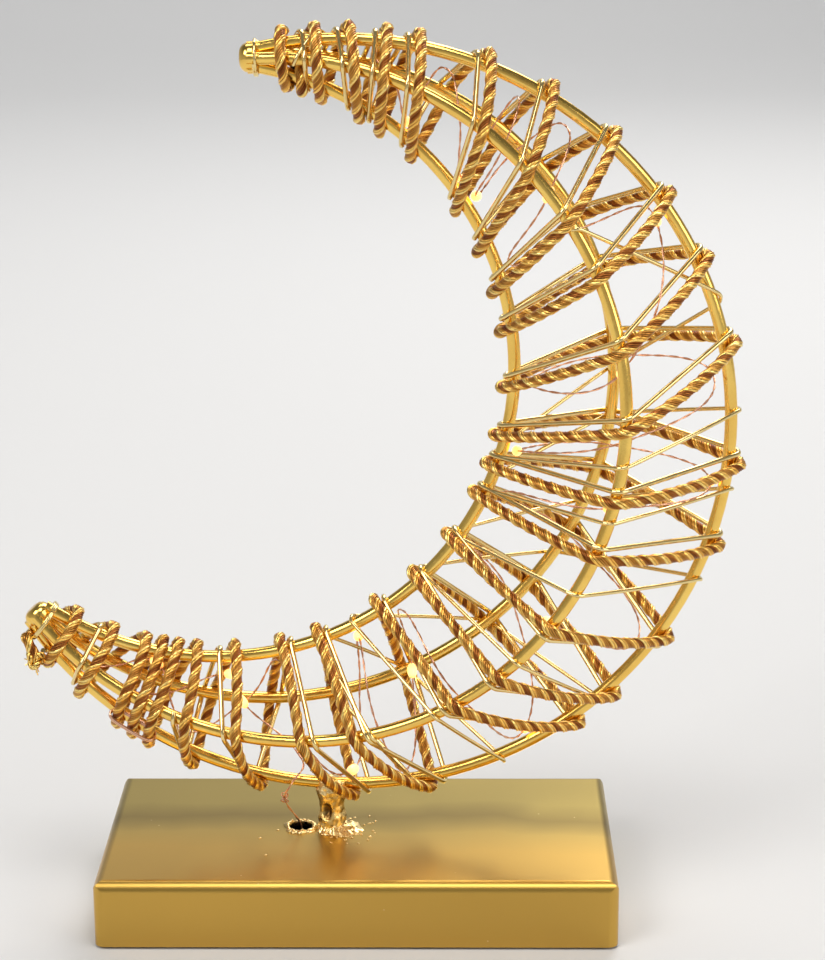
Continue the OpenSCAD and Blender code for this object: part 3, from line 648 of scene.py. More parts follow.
class Recipe(NodeSketch):
    """A geometry tree under construction, with named inputs for its sizes."""

    def __init__(self, name: str) -> None:
        """Makes the empty tree with its geometry input and output.

        Args:
            name: the tree's name.
        """
        super().__init__(bpy.data.node_groups.new(name, "GeometryNodeTree"))
        for way in ("INPUT", "OUTPUT"):
            self.tree.interface.new_socket("Geometry", in_out=way, socket_type="NodeSocketGeometry")
        self.inlet = self.tree.nodes.new("NodeGroupInput")
        self.start = self.inlet.outputs["Geometry"]
        self.values: dict[str, object] = {}

    def give(self, name: str, value: float | int | Piece) -> Socket:
        """Adds a named input.

        Args:
            name: its name.
            value: the value that it gets when the tree runs.

        Returns:
            Its socket inside the tree.
        """
        kind = "Float" if isinstance(value, float) else "Int" if isinstance(value, int) else "Object"
        self.tree.interface.new_socket(name, in_out="INPUT", socket_type="NodeSocket" + kind)
        self.values[name] = value
        return self.inlet.outputs[name]

    def scaled(self, vector: object, factor: object) -> Socket:
        """Returns a vector times a number."""
        return self.node("ShaderNodeVectorMath", {0: vector, "Scale": factor}, operation="SCALE").outputs[0]

    def store(self, geometry: Socket, name: str, value: object, kind: str = "FLOAT") -> Socket:
        """Stores a named value on the points of the geometry and returns the geometry."""
        return self.node("GeometryNodeStoreNamedAttribute",
                         {"Geometry": geometry, "Name": name, "Value": value},
                         data_type=kind, domain="POINT").outputs["Geometry"]

    def stored(self, name: str) -> Socket:
        """Returns a named vector of the points."""
        return self.node("GeometryNodeInputNamedAttribute", {"Name": name},
                         data_type="FLOAT_VECTOR").outputs["Attribute"]

    def grow(self, geometry: Socket, finish: Finish, carrier: Piece, name: str) -> Piece:
        """Ends the tree, runs it on an object and keeps the result as a plain mesh.

        Args:
            geometry: what the tree has made.
            finish: the finish that it gets.
            carrier: the curve or mesh that the tree starts from, which is removed.
            name: the new piece's name.

        Returns:
            The new object.
        """
        smooth = self.node("GeometryNodeSetShadeSmooth", {"Geometry": geometry}).outputs["Geometry"]
        real = self.node("GeometryNodeRealizeInstances", {"Geometry": smooth}).outputs["Geometry"]
        dressed = self.node("GeometryNodeSetMaterial", {"Geometry": real, "Material": finish.material()})
        self.node("NodeGroupOutput", {"Geometry": dressed.outputs["Geometry"]})
        modifier = carrier.modifiers.new(self.tree.name, "NODES")
        modifier.node_group = self.tree
        for item in self.tree.interface.items_tree:
            if item.in_out == "INPUT" and item.name in self.values:
                modifier[item.identifier] = self.values[item.name]
        seen = carrier.evaluated_get(bpy.context.evaluated_depsgraph_get())
        mesh = bpy.data.meshes.new_from_object(seen)
        mesh.name = name
        carrier.modifiers.clear()
        bpy.data.objects.remove(carrier)
        return shown(bpy.data.objects.new(name, mesh))


def shown(piece: Piece) -> Piece:
    """Puts a new object into the scene and returns it."""
    bpy.context.scene.collection.objects.link(piece)
    return piece


def path_object(lines: Sequence[Line], name: str) -> Piece:
    """Makes a curve object of straight-sided splines.

    Args:
        lines: the points of each spline, in metres.
        name: the object's name.

    Returns:
        The curve object.
    """
    curve = bpy.data.curves.new(name, "CURVE")
    curve.dimensions = "3D"
    for points in lines:
        spline = curve.splines.new("POLY")
        spline.points.add(len(points) - 1)
        for spot, point in zip(spline.points, points):
            spot.co = (*point, 1.0)
    return shown(bpy.data.objects.new(name, curve))


@dataclass(frozen=True)
class Lay:
    """How strands are laid round the middle line of a rope, in millimetres and turns."""

    count: int
    radius: float
    off_centre: float = 0.0
    length: float = 1000.0
    first_turn: float = 0.0
    turn_step: float = 0.0
    sides: int = 6

    def twist(self, lines: Sequence[Line], name: str, finish: Finish, step: float,
              rope_radius: float) -> Piece:
        """Winds the strands along each line.

        Args:
            lines: the middle lines of the rope, in metres.
            name: the new piece's name.
            finish: the strands' finish.
            step: distance between rings, in millimetres.
            rope_radius: the radius at which the depth attribute is 1, in millimetres.

        Returns:
            The piece.
        """
        tree = Recipe(name + "_lay")
        line = tree.node("GeometryNodeResampleCurve", {
            "Curve": tree.start, "Length": tree.give("Ring step", step * MM)}, mode="LENGTH")
        copies = tree.node("GeometryNodeDuplicateElements", {
            "Geometry": line.outputs[0], "Amount": tree.give("Strands", self.count)}, domain="SPLINE")
        length = tree.node("GeometryNodeSplineParameter").outputs["Length"]
        index = copies.outputs["Duplicate Index"]
        here = tree.node("GeometryNodeInputPosition").outputs[0]
        curve = tree.store(copies.outputs["Geometry"], "along", length)
        curve = tree.store(curve, "strand", index)
        curve = tree.store(curve, "middle", here, "FLOAT_VECTOR")
        turns = tree.math("ADD", tree.give("First turn", self.first_turn),
                          tree.math("MULTIPLY", index, tree.give("Turn step", self.turn_step)))
        lay = tree.give("Lay length", self.length * MM)
        turns = tree.math("ADD", turns, tree.math("DIVIDE", length, lay))
        angle = tree.math("MULTIPLY", turns, math.tau)
        normal = tree.node("GeometryNodeInputNormal").outputs[0]
        across = tree.vector("CROSS_PRODUCT", tree.node("GeometryNodeInputTangent").outputs[0], normal)
        off = tree.give("Off centre", self.off_centre * MM)
        lift = tree.vector("ADD", *(tree.scaled(way, tree.math("MULTIPLY", tree.math(wave, angle), off))
                                    for way, wave in ((normal, "COSINE"), (across, "SINE"))))
        moved = tree.node("GeometryNodeSetPosition", {"Geometry": curve, "Offset": lift}).outputs[0]
        section = tree.node("GeometryNodeCurvePrimitiveCircle", {
            "Resolution": tree.give("Sides", self.sides),
            "Radius": tree.give("Strand radius", self.radius * MM)}, mode="RADIUS").outputs["Curve"]
        section = tree.store(section, "around", tree.node("GeometryNodeSplineParameter").outputs["Factor"])
        tube = tree.node("GeometryNodeCurveToMesh", {
            "Curve": moved, "Profile Curve": section, "Fill Caps": True}).outputs["Mesh"]
        # The depth is read by the strand finish to paint shade between strands.
        out = tree.vector("DISTANCE", here, tree.stored("middle"), "Value")
        tube = tree.store(tube, "depth", tree.math("DIVIDE", out, tree.give("Rope radius", rope_radius * MM)))
        return tree.grow(tube, finish, path_object(lines, name + "_path"), name)


def mesh_piece(name: str, finish: Finish, fill: Callable[[Shape], None]) -> Piece:
    """Makes a piece from mesh code.

    Args:
        name: the new piece's name.
        finish: its finish.
        fill: adds the geometry to an empty mesh.

    Returns:
        The piece.
    """
    mesh = bpy.data.meshes.new(name)
    shape = bmesh.new()
    fill(shape)
    bmesh.ops.remove_doubles(shape, verts=shape.verts, dist=1e-7)
    bmesh.ops.recalc_face_normals(shape, faces=shape.faces)
    shape.to_mesh(mesh)
    shape.free()
    mesh.polygons.foreach_set("use_smooth", [True] * len(mesh.polygons))
    mesh.materials.append(finish.material())
    return shown(bpy.data.objects.new(name, mesh))


def skin(shape: Shape, rows: Iterable[object], sides: int,
         corner: Callable[[object, float], tuple[Vector, float]],
         capped: bool = True, layer: str = "hollow") -> None:
    """Adds a closed skin of rings.

    Args:
        shape: the empty mesh.
        rows: what the corners of each ring are worked out from.
        sides: corners of a ring.
        corner: gives a corner's place in millimetres and its stored number, from its row and its turn.
        capped: True closes the first and the last ring, and False joins them to each other.
        layer: the name of the stored number.
    """
    stored = shape.verts.layers.float.new(layer)
    rings = []
    for row in rows:
        rings.append([])
        for k in range(sides):
            place, number = corner(row, math.tau * k / sides)
            rings[-1].append(shape.verts.new(MM * place))
            rings[-1][-1][stored] = number
    if capped:
        shape.faces.new(reversed(rings[0]))
        shape.faces.new(rings[-1])
    else:
        rings.append(rings[0])
    for low, high in zip(rings, rings[1:]):
        for k in range(sides):
            shape.faces.new((low[k - 1], low[k], high[k], high[k - 1]))


def flat_way(turn: float) -> Vector:
    """Returns the level direction at a turn from the lamp's right."""
    return Vector((math.cos(turn), math.sin(turn), 0.0))


def lump(spot: Vector, size: float, seed: float = 0.0) -> float:
    """Returns a smooth bump height from about -1 to 1 at a spot, for lumps of a size."""
    return noise.noise(spot / size + Vector((seed, 2 * seed, 3 * seed))) * 1.6


def rough(spot: Vector, waves: Waves) -> float:
    """Returns the roughness at a spot, from the height, size and seed of each wave."""
    return sum(height * lump(spot, size, seed) for height, size, seed in waves)


def shares_of(count: int, full: float = 1.0) -> list[float]:
    """Returns evenly spaced numbers from 0 to full, count of them to a whole one."""
    return [i / count for i in range(round(count * full) + 1)]


def settle(piece: Piece, slot: str, *replaces: str) -> None:
    """Fixes a finished piece to its body and reports it.

    Args:
        piece: the finished piece, in place.
        slot: the record's material slot; not used.
        replaces: the solids that it stands for.
    """
    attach(piece, ROOT)
    if replaces:
        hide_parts(*replaces)
    log.info("%s: %d faces on %s", piece.name, len(piece.data.polygons), ROOT)


def draw(name: str, lines: Sequence[Line], finish: Finish, radius: float, step: float, slot: str,
         *replaces: str, sides: int = 10) -> None:
    """Makes plain round wires and settles them.

    Args:
        name: the new piece's name.
        lines: their middle lines, in metres.
        finish: its finish.
        radius: the wire's radius, in millimetres.
        step: distance between rings, in millimetres.
        slot: the record's material slot.
        replaces: the solids that it stands for.
        sides: corners of its section.
    """
    settle(Lay(1, radius, sides=sides).twist(lines, name, finish, step, radius), slot, *replaces)


def dress_node(node: str, finish: Finish) -> None:
    """Gives a carried-over solid its finish.

    Args:
        node: the solid's name.
        finish: its finish.
    """
    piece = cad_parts[node]
    if not piece.material_slots:
        piece.data.materials.append(None)
    for place in piece.material_slots:
        place.material = finish.material()
    log.info("%s: solid kept, %s", node, finish.name)


# Lines


def smooth_line(stops: Sequence[Vector], step: float) -> Line:
    """Draws a smooth curve through stops.

    Args:
        stops: the points that it passes, in metres.
        step: distance between the new points, in millimetres.

    Returns:
        The points of the curve.
    """
    line: Line = []
    last = len(stops) - 1
    for i in range(last):
        p0, p1, p2, p3 = stops[max(i - 1, 0)], stops[i], stops[i + 1], stops[min(i + 2, last)]
        gap = (p2 - p1).length
        leave, arrive = 1.2 * gap * (p2 - p0).normalized(), 1.2 * gap * (p3 - p1).normalized()
        count = max(2, round(gap / (step * MM)))
        for t in (k / count for k in range(count)):
            line.append((2 * t ** 3 - 3 * t ** 2 + 1) * p1 + (t ** 3 - 2 * t ** 2 + t) * leave
                        + (3 * t ** 2 - 2 * t ** 3) * p2 + (t ** 3 - t ** 2) * arrive)
    return [*line, stops[last]]


def outward(first: Vector, second: Vector) -> Vector:
    """Returns the outward normal of a side of the section."""
    return Vector((first[1] - second[1], second[0] - first[0])).normalized()


def turned(way: Vector, angle: float) -> Vector:
    """Returns a flat direction turned by an angle."""
    return Vector((way[0] * math.cos(angle) - way[1] * math.sin(angle),
                   way[0] * math.sin(angle) + way[1] * math.cos(angle)))


# Crescent


@dataclass(frozen=True)
class Bow:
    """The circle of one bowed rod in its own plane, in millimetres."""

    middle: float
    radius: float
    half_angle: float

    @classmethod
    def through(cls, end: Vector, depth: float) -> "Bow":
        """Works out the circle through a rod's end and the deepest point of its bow.

        Args:
            end: the rod's upper end, across and along the line of the tips.
            depth: distance of the deepest point from that line.

        Returns:
            The circle.
        """
        run = depth - end[0]
        radius = (run * run + end[1] * end[1]) / (2 * run)
        return cls(depth - radius, radius, math.atan2(end[1], end[0] - depth + radius))


@dataclass
class Cage:
    """The four rods and the sections between them, in millimetres until they are placed.

    A share is a place along the crescent, 0 at the upper tip and 1 at the lower one.
    """

    tip_spacing: float = 173.5
    outer_depth: float = 172.0
    side_depth: float = 140.7
    inner_depth: float = 106.8
    side_tilt: float = math.radians(10.3)
    lean: float = math.radians(23.8)
    tip_angle: float = math.radians(115)
    moon_x: float = -2.7
    base_h: float = BASE_H
    rise: float = 12.5
    rod_r: float = 1.8
    rod_gap: float = 0.15
    slope_step: float = 0.001
    bow_share: float = 0.12

    def __post_init__(self) -> None:
        """Works out the rods' circles."""
        self.bundle = (2 * self.rod_r + self.rod_gap) / math.sqrt(2)
        across = Vector((math.cos(self.tip_angle), math.sin(self.tip_angle)))
        tip = Vector((0.0, self.tip_spacing / 2))
        self.outer = Bow.through(tip + self.bundle * across, self.outer_depth)
        self.inner = Bow.through(tip - self.bundle * across, self.inner_depth)
        self.side = Bow.through(tip, self.side_depth)
        self.moon_z = self.base_h + self.rise + self.rod_r + self.outer.radius

    def ray(self, share: float) -> float:
        """Returns the angle of the section at a share."""
        return self.outer.half_angle * (1 - 2 * share)

    def rod_at(self, share: float, quarter: Quarter) -> Vector:
        """Works out where a rod crosses a section.

        Args:
            share: the section's share.
            quarter: the rod.

        Returns:
            Distance from the outer rod's centre, and from the middle plane.
        """
        turn = self.ray(share)
        if quarter is Quarter.OUTER:
            return Vector((self.outer.radius, 0.0))
        if quarter is Quarter.INNER:
            gap = self.outer.middle - self.inner.middle
            reach = math.sqrt(self.inner.radius ** 2 - (gap * math.sin(turn)) ** 2) - gap * math.cos(turn)
            return Vector((reach, 0.0))
        wide = 1 / math.cos(self.side_tilt)
        gap = self.outer.middle * wide - self.side.middle
        a = (wide * math.cos(turn)) ** 2 + math.sin(turn) ** 2
        b = gap * wide * math.cos(turn)
        reach = (math.sqrt(b * b - a * (gap * gap - self.side.radius ** 2)) - b) / a
        width = self.bundle + (self.outer.middle + reach * math.cos(turn)) * math.tan(self.side_tilt)
        return Vector((reach, -width if quarter is Quarter.FRONT else width))

    def facing(self, share: float, way: Vector) -> Vector:
        """Returns a section's direction in the crescent's own frame."""
        turn = self.ray(share)
        return Vector((way[0] * math.cos(turn), way[1], way[0] * math.sin(turn)))

    def placed(self, share: float, spot: Vector) -> Vector:
        """Returns a section's spot in the crescent's own frame."""
        return Vector((self.outer.middle, 0.0, 0.0)) + self.facing(share, spot)

    def on_rod(self, share: float, quarter: Quarter) -> Vector:
        """Returns where a rod crosses a section, in the crescent's own frame."""
        return self.placed(share, self.rod_at(share, quarter))

    def share_of(self, length: float, reach: float) -> float:
        """Returns the share that a length along the crescent takes at a reach."""
        return length / (reach * 2 * self.outer.half_angle)

    def beside(self, share: float, quarter: Quarter, way: Vector, clear: float) -> Vector:
        """Works out a point beside a rod at a clear distance from its middle line.

        Args:
            share: place along the crescent.
            quarter: the rod.
            way: direction in the section.
            clear: distance, in millimetres.

        Returns:
            The point in the crescent's own frame.
        """
        deep = self.facing(share, way)
        step = self.slope_step
        slope = (self.on_rod(share + step, quarter) - self.on_rod(share - step, quarter)).normalized()
        return self.on_rod(share, quarter) + clear / math.sqrt(1 - deep.dot(slope) ** 2) * deep

    def world(self, point: Vector, hand: Hand = Hand.WITH_ROPE) -> Vector:
        """Moves a point from the crescent's own frame to the lamp's.

        Args:
            point: the point, in millimetres.
            hand: AGAINST_ROPE takes the point's mirror image in the middle plane.

        Returns:
            The point, in metres.
        """
        u, v = point[0] - self.outer.middle, point[2]
        cos, sin = math.cos(self.lean), math.sin(self.lean)
        return MM * Vector((self.moon_x + u * cos + v * sin, point[1] * hand.value,
                            self.moon_z - u * sin + v * cos))

    def slack(self, first: Vector, second: Vector, bow: float) -> float:
        """Returns the angle by which a bowed span leaves its straight line."""
        length = (second - first).length
        return math.atan2(4 * min(bow, self.bow_share * length), length)

    def winding(self, shares: Sequence[float], first: Quarter, clear: float, bow: float = 0.0,
                step: float = 0.5, hand: Hand = Hand.WITH_ROPE) -> Line:
        """Works out the middle line of something wound round the rods.

        Args:
            shares: its share at each rod in turn, with one spare at each end.
            first: the rod of the first share.
            clear: distance from the middle line of a rod, in millimetres.
            bow: outward bow of a span between two rods, in millimetres.
            step: distance between points, in millimetres.
            hand: which way it is wound.

        Returns:
            The points in the lamp's frame, in metres.
        """
        clear += self.rod_r
        line: Line = []
        out = Vector((0.0, 0.0, 0.0))
        for i in range(1, len(shares) - 1):
            here = first.after(i)
            share = shares[i]
            before, rod, following = (self.rod_at(shares[i + k], here.after(k)) for k in (-1, 0, 1))
            way_in, way_out = outward(before, rod), outward(rod, following)
            turn = (math.atan2(way_in[1], way_in[0]) - math.atan2(way_out[1], way_out[0])) % math.tau
            bend = clear * turn / 2
            share_in = share - (share - shares[i - 1]) * bend / ((rod - before).length + 2 * bend)
            share_out = share + (shares[i + 1] - share) * bend / ((following - rod).length + 2 * bend)
            start = min(0.4, self.slack(before, rod, bow) / turn)
            end = max(0.6, 1 - self.slack(rod, following, bow) / turn)
            count = max(3, round(clear * turn * (end - start) / step))
            arc = [self.beside(share_in + f * (share_out - share_in), here, turned(way_in, -turn * f), clear)
                   for f in (start + (end - start) * k / count for k in range(count + 1))]
            if line:
                line.extend(self.span(line[-1], arc[0], out, bow, step))
            line.extend(arc)
            out = self.facing((share + shares[i + 1]) / 2, way_out)
        return [self.world(p, hand) for p in line]

    def span(self, start: Vector, end: Vector, out: Vector, bow: float, step: float) -> Line:
        """Works out the points between two rods.

        Args:
            start: where the span leaves one rod.
            end: where it meets the next.
            out: the outward direction.
            bow: outward bow at its middle, in millimetres.
            step: distance between points, in millimetres.

        Returns:
            The points, without the ends.
        """
        length = (end - start).length
        lift = 4 * min(bow, self.bow_share * length)
        count = max(2, round(length / step))
        return [start.lerp(end, f) + lift * f * (1 - f) * out for f in (k / count for k in range(1, count))]

    def tip_spot(self, tip: Tip, along: float, angle: float, radius: float) -> Vector:
        """Works out a point round the axis of the bundled rods at a tip.

        Args:
            tip: the tip.
            along: distance past the bend of the rods, in millimetres.
            angle: place round the axis, 0 at the outer rod.
            radius: distance from the axis, in millimetres.

        Returns:
            The point, in metres.
        """
        across, ahead = math.cos(self.tip_angle), -math.sin(self.tip_angle)
        u = across * radius * math.cos(angle) + ahead * along
        v = self.tip_spacing / 2 - ahead * radius * math.cos(angle) + across * along
        return self.world(Vector((u, radius * math.sin(angle), v * tip.value)))


@dataclass
class Turns:
    """Where the rope and the plain wire cross each rod, as shares."""

    cage: Cage
    chosen: tuple[float, ...] = (
        0.014, 0.010, 0.034, 0.032, 0.052, 0.059, 0.073, 0.074, 0.091, 0.101, 0.131, 0.153,
        0.170, 0.192, 0.214, 0.233, 0.260, 0.276, 0.302, 0.347, 0.354, 0.418, 0.427, 0.465,
        0.477, 0.516, 0.541, 0.597, 0.587, 0.673, 0.613, 0.733, 0.712, 0.802, 0.758, 0.835,
        0.815, 0.872, 0.858, 0.900, 0.888, 0.913, 0.899, 0.924, 0.910, 0.935,
        0.940, 0.957, 0.966, 0.982, 0.986, 0.995)
    wire_step: float = 3.1
    cross_start: int = 52
    cross_end: int = 64
    below_start: int = 72

    def rope(self, j: int) -> float:
        """Returns the rope's share at a quarter turn, counted from the upper tip."""
        last = len(self.chosen) - 1
        return sum(self.chosen[min(max(i, 0), last)] for i in (math.floor(j / 2), math.ceil(j / 2))) / 2

    def slant(self, j: int) -> float:
        """Works out how much longer the rope's way to the next rod is than the section there.

        Args:
            j: the quarter turn.

        Returns:
            The ratio of the two lengths.
        """
        cage, here = self.cage, Quarter(j % 4)
        s, t = self.rope(j), self.rope(j + 1)
        flat = cage.rod_at(t, here.after()) - cage.rod_at(s, here)
        return (cage.on_rod(t, here.after()) - cage.on_rod(s, here)).length / flat.length

    def wire(self, j: int) -> float:
        """Works out the plain wire's share at a quarter turn.

        Args:
            j: the quarter turn.

        Returns:
            The share, on the upper or the lower side of the rope.
        """
        here = Quarter(j % 4)
        share = self.rope(j)
        crossing = self.cross_start <= j < self.cross_end and here in (Quarter.OUTER, Quarter.FRONT)
        step = self.cage.share_of(self.wire_step * max(self.slant(j - 1), self.slant(j)),
                                  self.cage.rod_at(share, here)[0])
        return share + (step if crossing or j >= self.below_start else -step)


@dataclass
class Rods:
    """The four bowed rods and the caps over their ends."""

    def build(self) -> None:
        """Dresses the rods and the caps, whose solids are kept."""
        for node in ("outer_rod", "inner_rod", "front_rod", "back_rod", "upper_tip_cap", "lower_tip_cap"):
            dress_node(node, ROD_GOLD)


@dataclass
class RopeWork:
    """The twisted rope from tip to tip and the copper binding of its tight turns, in millimetres."""

    cage: Cage
    turns: Turns
    radius: float = 1.75
    core_radius: float = 0.9
    clear: float = 0.12
    bow: float = 2.8
    lay: float = 9.4
    step: float = 0.6
    last: int = 100
    run_in: float = 3.5
    run_out: float = 2.5
    bound_turn: int = 21
    bound_place: float = 0.55
    binding_radius: float = 0.35
    binding_turns: int = 2
    binding_squareness: float = 0.6
    binding_pitch: float = 2.3
    knot_at: Triple = (-93.6, -4.6, 75.8)
    hitch_share: float = 0.021
    hitch_width: float = 0.004
    hitch_start: float = 0.9
    hitch_turns: float = 1.15
    hitch_steps: int = 30
    binding_steps: int = 40

    def middle_line(self) -> Line:
        """Works out the rope's middle line, with a short run-out at each end.

        Returns:
            The points, in metres.
        """
        shares = [self.turns.rope(j) for j in range(-1, self.last + 2)]
        line = self.cage.winding(shares, Quarter.BACK, self.radius + self.clear, self.bow)
        leave = line[-1] + self.run_out * MM * (line[-1] - line[-2]).normalized()
        return [line[0] + self.run_in * MM * (line[0] - line[1]).normalized(), *line,
                *smooth_line([line[-1], leave, Vector(self.knot_at) * MM], 0.5)[1:]]

    def hitch(self) -> Line:
        """Works out one extra turn round the inner rod near the upper tip.

        Returns:
            The points, in metres.
        """
        line, clear = [], self.cage.rod_r + self.radius
        for f in shares_of(self.hitch_steps):
            way = flat_way(math.tau * (self.hitch_turns * f + self.hitch_start))
            share = self.hitch_share + self.hitch_width * (f - 0.5)
            line.append(self.cage.world(self.cage.beside(share, Quarter.INNER, way, clear)))
        return line

    def strands(self, lines: Sequence[Line]) -> None:
        """Lays the thick and the thin strands of the rope, and its core.

        Args:
            lines: the rope's middle lines.
        """
        for name, finish, replaces, lay in (
                ("rope_bright", ROPE_BRIGHT, ["rope_winding"], Lay(2, 0.46, 1.29, self.lay, 0.0, 0.5, 7)),
                ("rope_pale", ROPE_PALE, [], Lay(2, 0.40, 1.27, self.lay, 0.12, 0.5, 6)),
                ("rope_golden", ROPE_GOLDEN, [], Lay(3, 0.30, 1.22, self.lay, 0.22, 0.09, 5)),
                ("rope_copper", ROPE_COPPER, [], Lay(3, 0.30, 1.18, self.lay, 0.72, 0.09, 5))):
            settle(lay.twist(lines, name, finish, self.step, self.radius), "rope_bronze", *replaces)
        draw("rope_core", lines, ROPE_SHADE_CORE, self.core_radius, 2 * self.step, "rope_bronze", sides=6)

    def tight(self, line: Line, turn: int) -> int:
        """Finds which point of the rope lies in the tight place of a turn.

        Args:
            line: the rope's middle line.
            turn: the turn, counted from the upper tip.

        Returns:
            The point's place in the line.
        """
        share = self.turns.rope(4 * turn)
        share += self.bound_place * (self.turns.rope(4 * turn + 1) - share)
        outer, front = (self.cage.rod_at(share, quarter) for quarter in (Quarter.OUTER, Quarter.FRONT))
        aim = self.cage.world(self.cage.placed(share, outer.lerp(front, self.bound_place)))
        return min(range(1, len(line) - 1), key=lambda n: (line[n] - aim).length)

    def binding(self, line: Line) -> Line:
        """Works out the binding, an oval coil round three tight turns.

        Args:
            line: the rope's middle line.

        Returns:
            The binding's points, in metres.
        """
        high, middle, low = (self.tight(line, self.bound_turn + k) for k in (-1, 0, 1))
        along = (line[middle + 1] - line[middle - 1]).normalized()
        side = (line[low] - line[high]).normalized()
        deep = side.cross(along).normalized()
        reach = (line[low] - line[high]).length / 2 + (self.radius + self.binding_radius) * MM
        lift = (self.radius + self.binding_radius + self.clear) * MM
        heart = (line[high] + line[low]) / 2
        coil = []
        for f in shares_of(self.binding_steps, self.binding_turns):
            flat, rise = (math.copysign(abs(w) ** self.binding_squareness, w)
                          for w in (math.cos(math.tau * f), math.sin(math.tau * f)))
            shift = self.binding_pitch * self.binding_radius * MM * (f - self.binding_turns / 2)
            coil.append(heart + reach * flat * side + lift * rise * deep + shift * along)
        return coil

    def build(self) -> None:
        """Makes the rope's strands and core, and the binding."""
        line = self.middle_line()
        self.strands([line, self.hitch()])
        draw("copper_binding", [self.binding(line)], FAIRY_COPPER, self.binding_radius, 0.4, "fairy_copper",
             "rope_binding")


@dataclass
class WireWork:
    """The plain bright wires: one beside the rope, loose ones across it, and rings at the tips."""

    cage: Cage
    turns: Turns
    radius: float = 0.75
    clear: float = 0.1
    step: float = 0.8
    loose_radius: float = 0.6
    loose_bow: float = 0.4
    ring_radius: float = 0.45
    ring_pitch: float = 0.5
    ring_steps: int = 36
    loose: tuple[tuple[float, ...], ...] = ((
        0.21, 0.227, 0.329, 0.372, 0.45, 0.416, 0.394, 0.416, 0.504, 0.464, 0.441, 0.50,
        0.59, 0.532, 0.499, 0.555, 0.66, 0.61, 0.596, 0.64, 0.764, 0.691, 0.666, 0.72,
        0.803, 0.743, 0.72, 0.78, 0.83), (0.01, 0.02, 0.034, 0.049, 0.06, 0.07))

    def beside_rope(self, first: int, last: int) -> Line:
        """Returns the middle line of the wire between two quarter turns."""
        shares = [self.turns.wire(j) for j in range(first - 1, last + 2)]
        return self.cage.winding(shares, Quarter((first - 1) % 4), self.radius + self.clear, step=1.0)

    def across_rope(self, shares: Sequence[float]) -> Line:
        """Returns the middle line of a wire wound against the rope, from its share at each rod."""
        return self.cage.winding(shares, Quarter.INNER, self.loose_radius + self.clear, self.loose_bow, 1.0,
                                 Hand.AGAINST_ROPE)

    def ring(self, tip: Tip, along: float, radius: float, slant: float, turns: float, start: float) -> Line:
        """Works out a wire ring round the bundled rods.

        Args:
            tip: the tip that it is near.
            along: its distance past the bend of the rods, in millimetres.
            radius: its radius, in millimetres.
            slant: how far it leans along the rods, in millimetres.
            turns: how often it goes round.
            start: where it starts, in turns from the outer rod.

        Returns:
            The points, in metres.
        """
        line = []
        for f in shares_of(self.ring_steps, turns):
            angle = math.tau * (start + f)
            place = along + slant * math.cos(angle) + self.ring_pitch * f
            line.append(self.cage.tip_spot(tip, place, angle, radius))
        return line

    def build(self) -> None:
        """Makes the winding, its last turns, the loose wires and the rings."""
        for name, first, last, replaced in (("bright_wire", 3, 77, "wire_winding"),
                                            ("bright_wire_tail", 92, 96, "wire_tail")):
            draw(name, [self.beside_rope(first, last)], WIRE_GOLD, self.radius, self.step,
                 "wire_gold", replaced)
        draw("loose_wire", [self.across_rope(shares) for shares in self.loose], WIRE_GOLD, self.loose_radius,
             self.step, "wire_gold", sides=8)
        rings = [self.ring(Tip.UPPER, 0.7, 4.9, 0.1, 1.6, 0.1),
                 self.ring(Tip.LOWER, -6.2, 5.9, -1.4, 2.2, 0.4)]
        draw("tip_rings", rings, WIRE_GOLD, self.ring_radius, 0.6, "wire_gold", sides=8)


@dataclass
class Knots:
    """The hand-tied end of the rope at the lower tip: a knot with a frayed tassel, in millimetres."""

    rope: RopeWork
    size: float = 0.8075
    thickness: float = 1.3
    turn: float = 0.4
    lie: float = math.radians(70)
    knot_steps: int = 60
    fray_count: int = 14
    fray_length: float = 4.5
    fray_spread: float = 0.8
    fray_bend: float = 0.5
    fray_way: Triple = (-0.3, -0.2, -1.0)

    def knot(self, centre: Vector) -> Line:
        """Works out the closed-looking line of a small knot.

        Args:
            centre: its middle, in metres.

        Returns:
            The points, in metres.
        """
        spin = Matrix.Rotation(self.turn, 3, "Y") @ Matrix.Rotation(self.lie, 3, "X")
        return [centre + spin @ Vector((math.sin(t) + 2 * math.sin(2 * t), math.cos(t) - 2 * math.cos(2 * t),
                                        -self.thickness * math.sin(3 * t))) * self.size * MM
                for t in (math.tau * f for f in shares_of(self.knot_steps))]

    def wild(self) -> Vector:
        """Returns a random direction, with parts from -1 to 1."""
        return Vector([random.uniform(-1, 1) for _ in range(3)])

    def fray(self, root: Vector) -> list[Line]:
        """Works out the loose wires that stick out of the knot.

        Args:
            root: where they start, in metres.

        Returns:
            One line for each wire.
        """
        lines = []
        for _ in range(self.fray_count):
            aim = (Vector(self.fray_way) + self.fray_spread * self.wild()).normalized()
            bend = self.fray_bend * self.wild()
            length = self.fray_length * random.uniform(0.5, 1.0) * MM
            lines.append([root + length * (f * aim + f * f * bend) for f in shares_of(5)])
        return lines

    def build(self) -> None:
        """Makes the knot and the frayed end."""
        low = Vector(self.rope.knot_at) * MM
        thin = Lay(3, 0.50, 0.54, 4.0, 0.0, 1 / 3, 6)
        settle(thin.twist([self.knot(low)], "rope_knot", ROPE_BRIGHT, 0.4, 1.05), "rope_bronze")
        draw("frayed_end", self.fray(low), ROPE_BRIGHT, 0.2, 0.5, "rope_bronze", sides=5)


# Lamps


